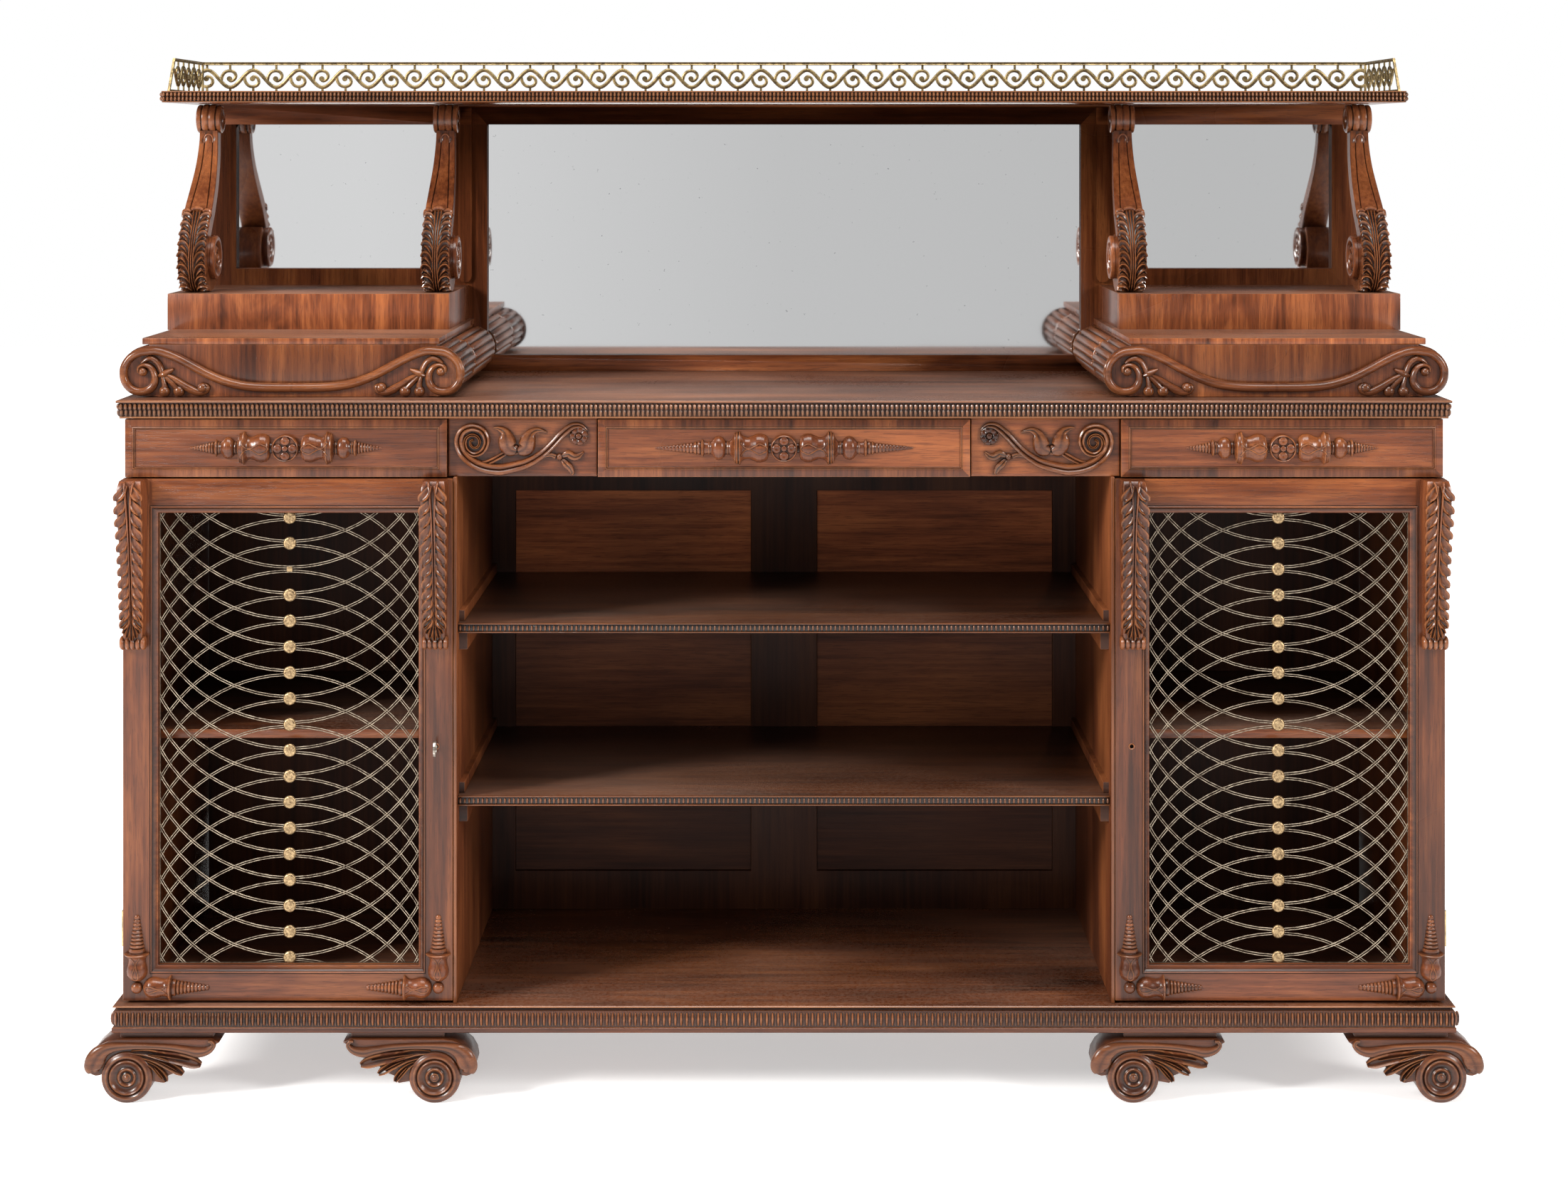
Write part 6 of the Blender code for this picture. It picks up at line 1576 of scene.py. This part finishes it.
scrollSettings = {
    "centre": 1021.0, "inner": 493.0, "outer": 905.0, "face": 45.0, "block": (0.9843, 1.0583), "round": 35.8,
    "shaft": 52.0, "middle": 225.5, "stemBreadth": 1.25, "ballBreadth": 1.15, "ground": 1.6,
    "curl": [
        (0, 28.0, 12.8, 7.8), (-12, 26.0, 12.4, 7.8), (-23.6, 18.8, 12.2, 7.8), (-31.2, 8, 12, 7.8),
        (-33.2, -3, 12, 7.8), (-31.2, -14, 12, 7.7), (-25, -23, 12, 7.6), (-16, -28.2, 12, 7.5),
        (-6, -29, 12, 7.4), (3.4, -25.8, 11.8, 7.4), (9.8, -18.6, 11.4, 7.4), (11.8, -9, 10.6, 7.4),
        (9.2, 0.6, 9.6, 7.4), (3.2, 7.2, 8.4, 7.4), (-5, 8.8, 7, 7), (-11.2, 5, 6, 6.6),
        (-11.4, -1.6, 5, 6),
    ],
    "stems": [
        [
            (-8, 11, 4, 4), (-1, 16.4, 6, 5.4), (7, 18, 7, 6), (15, 12.6, 7, 6.2), (20, 4, 7, 6.2),
            (22.4, -4, 6.4, 6),
        ],
        [(38, 3, 3, 4), (31, -0.6, 7, 6.4), (24, -4, 9, 8), (16.5, -6.5, 4, 4.4)],
        [(22, -5, 5, 5.4), (24, -13, 6, 6), (25.4, -20, 7, 6), (25.2, -26, 8, 5.6)],
        [(24, -5, 5, 5.4), (30, -11, 6.6, 6), (38, -18.6, 7.4, 6.2), (43.6, -25, 7, 5.8)],
        [
            (26, -4, 5, 5.4), (38, -10.4, 7, 6), (52, -19.6, 9, 6.6), (64, -26.4, 9.8, 6.8),
            (74, -30, 9, 6.6), (82.6, -28, 8, 6), (86, -22.6, 6.4, 5.6), (82, -19, 5, 5),
        ],
    ],
    "balls": [(25, -28.4, 6.8, 8), (45.6, -28, 7.2, 8.4), (79.4, -23.8, 7, 8.8), (-5.6, -0.4, 6, 9.4)],
}


def fallOf(share):
    # the height of the long lyre-shaped fall, from the middle (0) to a volute (1)
    return 1004.0 + 53.5 * (0.5 - 0.5 * math.cos(math.pi * min(1.0, share))) ** 2.2


def reededRoller(x, z, front, back, radius=36.0, count=16):
    # convex reeds round a drum, each with rounded ends; all in mm
    turns = count * 8
    rings = []
    stops = [(0.0, 0.86), (0.9, 0.93), (2.6, 0.975), (5.5, 1.0)]  # distance from an end, share of the radius
    lengths = [(front + d, k) for d, k in stops] + [(back - d, k) for d, k in reversed(stops)]
    for y, k in lengths:
        ring = []
        for i in range(turns):
            share = (i % 8) / 8
            reach = radius - 4.6 * (1 - math.sin(math.pi * share) ** 0.7) - radius * (1 - k)
            angle = math.tau * i / turns
            ring.append(Vector((x + reach * math.cos(angle), y, z + reach * math.sin(angle))) / 1000)
        rings.append(ring)
    return loft(rings)


def makeScrollEnd(word, side):
    s = scrollSettings
    node = f"scroll_end_{word}"
    inner, outer, zed = s["inner"], s["outer"], s["centre"]
    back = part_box(node)[1].y
    behind = back * 1000 - 0.2
    half = (outer - inner) / 2
    face = faceY * 1000 + s["face"]
    # the board behind the carving, with the fall as its top edge
    outline = []
    for middle, first in ((inner, -80), (outer, 90)):
        for i in range(17):
            angle = math.radians(first - 190 * i / 16)
            outline.append((middle + s["round"] * math.cos(angle), zed + s["round"] * math.sin(angle)))
        if middle == inner:
            places = [inner + 2 * half * i / 36 for i in range(1, 36)]
            outline += [(x, fallOf(abs(x - inner - half) / half) - 1.0) for x in places]
    base = s["block"][0] * 1000 + 0.3
    outline += [(outer - 18, base), (inner + 18, base)]
    plate = bmesh.new()
    verts = [plate.verts.new(Vector((side * x, face, z)) / 1000) for x, z in outline]
    grown = bmesh.ops.extrude_face_region(plate, geom=[plate.faces.new(verts)])["geom"]
    fresh = [item for item in grown if isinstance(item, bmesh.types.BMVert)]
    bmesh.ops.translate(plate, vec=(0, 0.0068, 0), verts=fresh)
    bmesh.ops.recalc_face_normals(plate, faces=plate.faces)
    gridCut(plate, 0.005)
    # carved scrolls, drawn for one end and mirrored for the other
    steps = [half * i / 14 for i in range(15)]
    fall = [(w, fallOf(1 - w / half) - 6.4 - zed, 13, 7.8) for w in steps]
    lines = [(fall[:0:-1] + s["curl"], "round", 4)]
    lines += [([(u, v, w * s["stemBreadth"], h) for u, v, w, h in line], "round", 5) for line in s["stems"]]
    carving = []
    for end in (inner, outer):
        made = [stroke(line, section, steps, s["ground"]) for line, section, steps in lines]
        balls = [knob(u, v, r * s["ballBreadth"], h, s["ground"], 14) for u, v, r, h in s["balls"]]
        scroll = joined([joined(made)] + balls)
        if end == outer:
            scroll = mirrored(scroll)
        carving.append(moved(scroll, (end / 1000, 0, zed / 1000)))
    front = joined(carving)
    if side < 0:
        front = mirrored(front)
    parts = [plate, addTo(bmesh.new(), moved(front, (0, face / 1000, 0)), 1)]
    # the veneered board, the block and its rollers
    x = (side * (inner + 1) / 1000, side * (outer - 1) / 1000)
    parts.append(addTo(bmesh.new(), block(x, (faceY + 0.0516, back), s["block"], 0.0005), 2))
    start, middle = faceY * 1000 + s["shaft"], faceY * 1000 + s["middle"]
    profile = [  # the drum's ends and the ring between its two rows of reeds
        (0, start - 1), (31, start - 1), (31, middle - 4), (33.6, middle - 2.4), (34.6, middle),
        (33.6, middle + 2.4), (31, middle + 4), (31, behind - 4.4), (34.4, behind - 3.0), (34.4, behind),
        (0, behind),
    ]
    for at in (inner, outer):
        drums = [
            reededRoller(side * at, zed, start, middle - 3.2),
            reededRoller(side * at, zed, middle + 3.2, behind - 3.6),
            moved(spun(profile, "Y", 40), (side * at / 1000, 0, zed / 1000)),
        ]
        parts.append(addTo(bmesh.new(), joined(drums), 3))
    bm = joined(parts)
    for vert in bm.verts:
        vert.co.z = max(vert.co.z, s["block"][0])
    finishPiece(node, bm, [wood["veneer"], wood["carvedX"], wood["veneer"], wood["y"]], shadeReach=0.007)


for word, side in sides:
    makeScrollEnd(word, side)
print("scroll ends made")


footSettings = {
    "inner": 0.4895, "outer": 0.925, "inwards": {"inner": 0.0, "outer": 0.004},
    "front": -8.0, "middle": 0.036,
    "rings": [
        (36, -3.0), (36, 0.0), (35.2, 2.4), (33.6, 3.4), (31, 4.2), (29.4, 6.4), (28, 6.0), (26.6, 4.4),
        (25, 3.4), (24.2, 5.4), (23, 6.2), (21.6, 5.2), (20.4, 3.6), (17, 1.6), (14, 1.4), (12.8, 3.8),
        (11.6, 4.8), (10, 3.6), (8, 1.8), (6.2, 2.2), (5.4, 4.6), (4.4, 4.2), (3.4, 4.8), (2, 6.4),
        (0, 6.8),
    ],
    "rib": [
        (47, 43, 16, 5), (48, 50, 24, 7), (44, 60, 27, 8), (38, 69, 23, 7.5), (26, 76, 15, 6.5),
        (8, 79, 10, 5), (-28, 79.4, 8, 5), (-60, 77.4, 8.6, 5), (-84, 73.4, 11, 5.6), (-99, 70.4, 13.4, 6),
        (-113, 73, 10.5, 5.6), (-121, 80, 7, 5), (-119, 85.4, 5, 4.4), (-114, 86, 3.4, 4),
    ],
    "leaves": [
        [
            (-6, 71, 5, 3), (-28, 71, 10, 5), (-52, 66, 14, 6.4), (-76, 61.6, 17, 7), (-94, 56.6, 16, 6.6),
            (-104, 53.4, 7, 4),
        ],
        [(-20, 65, 5, 3), (-40, 61.4, 10, 5), (-58, 54, 13, 6.4), (-72, 45.6, 12, 6), (-79, 40.6, 6, 4)],
        [
            (-27, 57, 4, 3), (-38, 51, 8, 5), (-47, 42.6, 10.4, 5.6), (-53, 35, 9, 5),
            (-55.4, 29.8, 4.6, 3.4),
        ],
    ],
    "veins": (((-30, 68.6), (-88, 60.4)), ((-44, 59.4), (-70, 46.6)), ((-39, 50), (-52, 35))),
}


def makeFrontFoot(word, side, place):
    s = footSettings
    node = f"foot_front_{place}_{word}"
    step = -side * s["inwards"][place]
    bm = moved(shapeOf(node), (step, 0, 0))
    # the blank keeps its outline; its own roundel is cut off and carved anew
    front = faceY + s["front"] / 1000
    sliced(bm, (0, front + 0.0006, 0), (0, -1, 0), clear=True)
    softenEdges(bm, 0.0010)
    gridCut(bm, 0.004)
    parts = [stroke(s["rib"], "petal", 5)] + [stroke(line, "flute", 6) for line in s["leaves"]]
    for (u, v), (p, q) in s["veins"]:
        line = [(u, v, 1.2, 4.4), ((u + p) / 2, (v + q) / 2 + 0.8, 2.2, 6.2), (p, q, 1.0, 5.4)]
        parts.append(stroke(line, "round", 6))
    parts.append(moved(spun([(0, 3)] + [(r, -h) for r, h in s["rings"]], "Y", 64), (0, 0, s["middle"])))
    carving = joined(parts)
    if (place == "outer") == (side < 0):
        carving = mirrored(carving)
    for vert in carving.verts:
        vert.co.z = min(max(vert.co.z, 0.0002), 0.0985)
    addTo(bm, moved(carving, (side * s[place] + step, front, 0)))
    finishPiece(node, bm, wood["foot"], shadeReach=0.007)


for word, side in sides:
    for place in ("outer", "inner"):
        makeFrontFoot(word, side, place)
print("feet made")


bracketSettings = {
    "outer": 886.5, "inner": 522.0, "base": 1121.0, "top": 1405.7, "front": 245.0,
    "radius": 46.0, "strap": 22.0,
    "rollRadius": 23.0, "rollBack": 138.0, "leafTop": 1238, "archTop": 1347, "lobes": 8, "flush": 10.6,
    "width": [(1121, 41), (1200, 41.5), (1243, 41.5), (1275, 37.5), (1303, 33.2), (1346, 28.6), (1390, 27)],
    "groove": [(1230, 12.4), (1243, 12.2), (1275, 9.6), (1303, 7.6), (1346, 6.0)],
    "eye": [
        (0, 31.6), (3, 31.4), (5, 30.4), (6.2, 28.0), (8, 27.0), (10, 28.6), (13, 30), (16, 29.0),
        (18, 27.0), (20, 26), (22, 27.4), (25, 30.2), (29, 31), (31.6, 30.4), (33, 29), (33, 25), (32, 24),
        (32, 0),
    ],
    "roll": [
        (0, 18.9), (4, 18.7), (5, 17.9), (14, 17.9), (15.5, 18.9), (20, 18.6), (21.6, 17.4), (22, 15.6),
        (21.8, 12.6), (20.6, 11.4), (20.6, 10.4), (22.4, 9.6), (23, 7.6), (23, 2.4), (22.2, 1.2),
        (21.6, 0),
    ],
    # the leaf's lobes, drawn from the middle outwards, and its turned-over tip, drawn from the leaf's top
    "smallLobe": [(6, 1, 2, 1.5), (11, 6, 5.4, 3.4), (16, 7.6, 5.8, 3.8), (19.4, 4.6, 3, 2.4)],
    "lobe": [
        (4, -2, 3, 2.0), (6.8, 7.4, 7.4, 4.6), (10.8, 13.4, 10.4, 6.2), (15.4, 15.6, 10.4, 6.8),
        (19.2, 12, 6, 4.6),
    ],
    "sideTip": [(20, -9, 5, 5), (18.6, -2.6, 7, 7), (13, -0.4, 7, 7.6), (8.4, -3.4, 5, 6)],
    "middleTip": [(-9, -0.6, 5, 6.4), (-5, 2.4, 7, 8), (0, 3.2, 7, 8.4), (5, 2.4, 7, 8), (9, -0.6, 5, 6.4)],
    "arch": [(6.6, -4, 1.6, 0.6), (6.2, 3, 2.6, 1.1), (3.6, 7.4, 3, 1.4)],
}


def bracketSpine():
    # the middle line of the strap, in mm as (y, z): round the eye, then up to the roll
    s = bracketSettings
    radius = s["radius"] - s["strap"] / 2
    centre = Vector((faceY * 1000 + s["front"] + s["radius"], s["base"] + s["radius"]))
    line = []
    for i in range(45):
        angle = math.radians(60 - 265 * i / 44)
        line.append(centre + Vector((math.cos(angle), math.sin(angle))) * radius)
    leave = math.radians(155)
    roll = Vector((faceY * 1000 + s["front"] + s["rollBack"], s["top"] - s["rollRadius"]))
    start = line[-1]
    end = roll - Vector((0.15, 0.8)) * s["rollRadius"]
    first = start + Vector((math.sin(leave), -math.cos(leave))) * 70
    second = end - Vector((0, 80))
    for i in range(1, 31):
        t = i / 30
        bow = first * 3 * t * (1 - t) ** 2 + second * 3 * t * t * (1 - t)
        line.append(start * (1 - t) ** 3 + bow + end * t**3)
    return line, centre, roll


def makeBracket(word, side, place):
    s = bracketSettings
    node = f"bracket_{place}_{word}"
    x = side * s[place]
    line, centre, roll = bracketSpine()
    outward = []
    for i in range(len(line)):
        ahead = (line[min(i + 1, len(line) - 1)] - line[max(i - 1, 0)]).normalized()
        outward.append(Vector((-ahead[1], ahead[0])))
    width, groove = curveOf(s["width"]), curveOf(s["groove"])
    thick = s["strap"] / 2
    rings = []
    for i, (here, out) in enumerate(zip(line, outward)):
        rising = i > 34
        w = width(here[1]) / 2 if rising else 20.5
        g = groove(here[1])
        cut = 1.5 if rising and 1235 < here[1] < 1350 else 0.0
        ring = []
        for across, lift in (
            (-w, thick - 1), (-w + 1, thick), (-g - 1.2, thick), (-g, thick - cut), (-g + 1.2, thick),
            (0, thick + 0.2), (g - 1.2, thick), (g, thick - cut), (g + 1.2, thick), (w - 1, thick),
            (w, thick - 1), (w, 1 - thick), (w - 1, -thick), (1 - w, -thick), (-w, 1 - thick),
        ):
            ring.append(Vector((x + across, here[0] + out[0] * lift, here[1] + out[1] * lift)) / 1000)
        rings.append(ring)
    parts = [loft(rings)]
    # the outer face as a ruler for the carving: distances start low on the front of the curl
    first = 28
    ruler = [(0.0, line[first] + outward[first] * thick, outward[first])]
    for here, out in list(zip(line, outward))[first + 1:]:
        point = here + out * thick
        ruler.append((ruler[-1][0] + (point - ruler[-1][1]).length, point, out))

    def surface(u, v):
        v = max(0.0, min(ruler[-1][0] - 0.01, v))
        for (a, p, m), (b, q, n) in zip(ruler, ruler[1:]):
            if v <= b:
                share = (v - a) / (b - a)
                point, out = p.lerp(q, share), m.lerp(n, share).normalized()
                return Vector((x + u, point[0], point[1])), Vector((u * 0.01, out[0], out[1])).normalized()

    def lifted(line, height, way=1):
        return [(way * u, height + v, w, h) for u, v, w, h in line]

    leafTop = next(a for a, p, m in ruler if p[1] > s["leafTop"])
    carving = [stroke([(0, 0, 34, 1.4), (0, leafTop * 0.5, 38, 1.4), (0, leafTop - 2, 38, 1.6)], "round", 10)]
    pitch = (leafTop - 10) / s["lobes"]
    for k in range(s["lobes"]):
        for way in (-1, 1):
            for key in ("smallLobe", "lobe"):
                carving.append(stroke(lifted(s[key], 1 + pitch * k, way), "flute", 3))
    for u in (-3.2, 0, 3.2):
        rib = [(u * 1.25, 0, 2.4, 3.4), (u, leafTop * 0.3, 2.6, 4.6), (u, leafTop * 0.7, 2.6, 5.0)]
        carving.append(stroke(rib + [(u * 1.5, leafTop - 2, 2.6, 6.0)], "round", 6))
    for key, way in (("sideTip", -1), ("sideTip", 1), ("middleTip", 1)):
        carving.append(stroke(lifted(s[key], leafTop, way), "round", 5))
    # the small arch that closes the grooves at the top
    height = next(a for a, p, m in ruler if p[1] > s["archTop"])
    arch = lifted(s["arch"], height, -1) + [(0, height + 8.8, 3, 1.4)] + lifted(s["arch"][::-1], height)
    carving.append(stroke(arch, "round", 5))
    parts.append(bent(joined(carving), surface))
    for key, at in (("eye", Vector((centre[0], centre[1] + s["radius"] * 0.12))), ("roll", roll)):
        # the eye stands proud only on the side towards the middle of the cabinet
        flush = s["flush"] if key == "eye" else 0.0
        first, last = (flush, 0.0) if side < 0 else (0.0, flush)
        profile = [(r, first - d) for r, d in s[key]] + [(r, d - last) for r, d in reversed(s[key])]
        parts.append(moved(spun(profile, "X", 48), (x / 1000, at[0] / 1000, at[1] / 1000)))
    bm = joined(parts)
    for vert in bm.verts:
        vert.co.z = min(max(vert.co.z, s["base"] / 1000), s["top"] / 1000)
    finishPiece(node, bm, wood["carved"], shadeReach=0.007)


for word, side in sides:
    for place in ("outer", "inner"):
        makeBracket(word, side, place)
print("brackets made")
paint("key", metal["steel"])


bpy.context.view_layer.update()
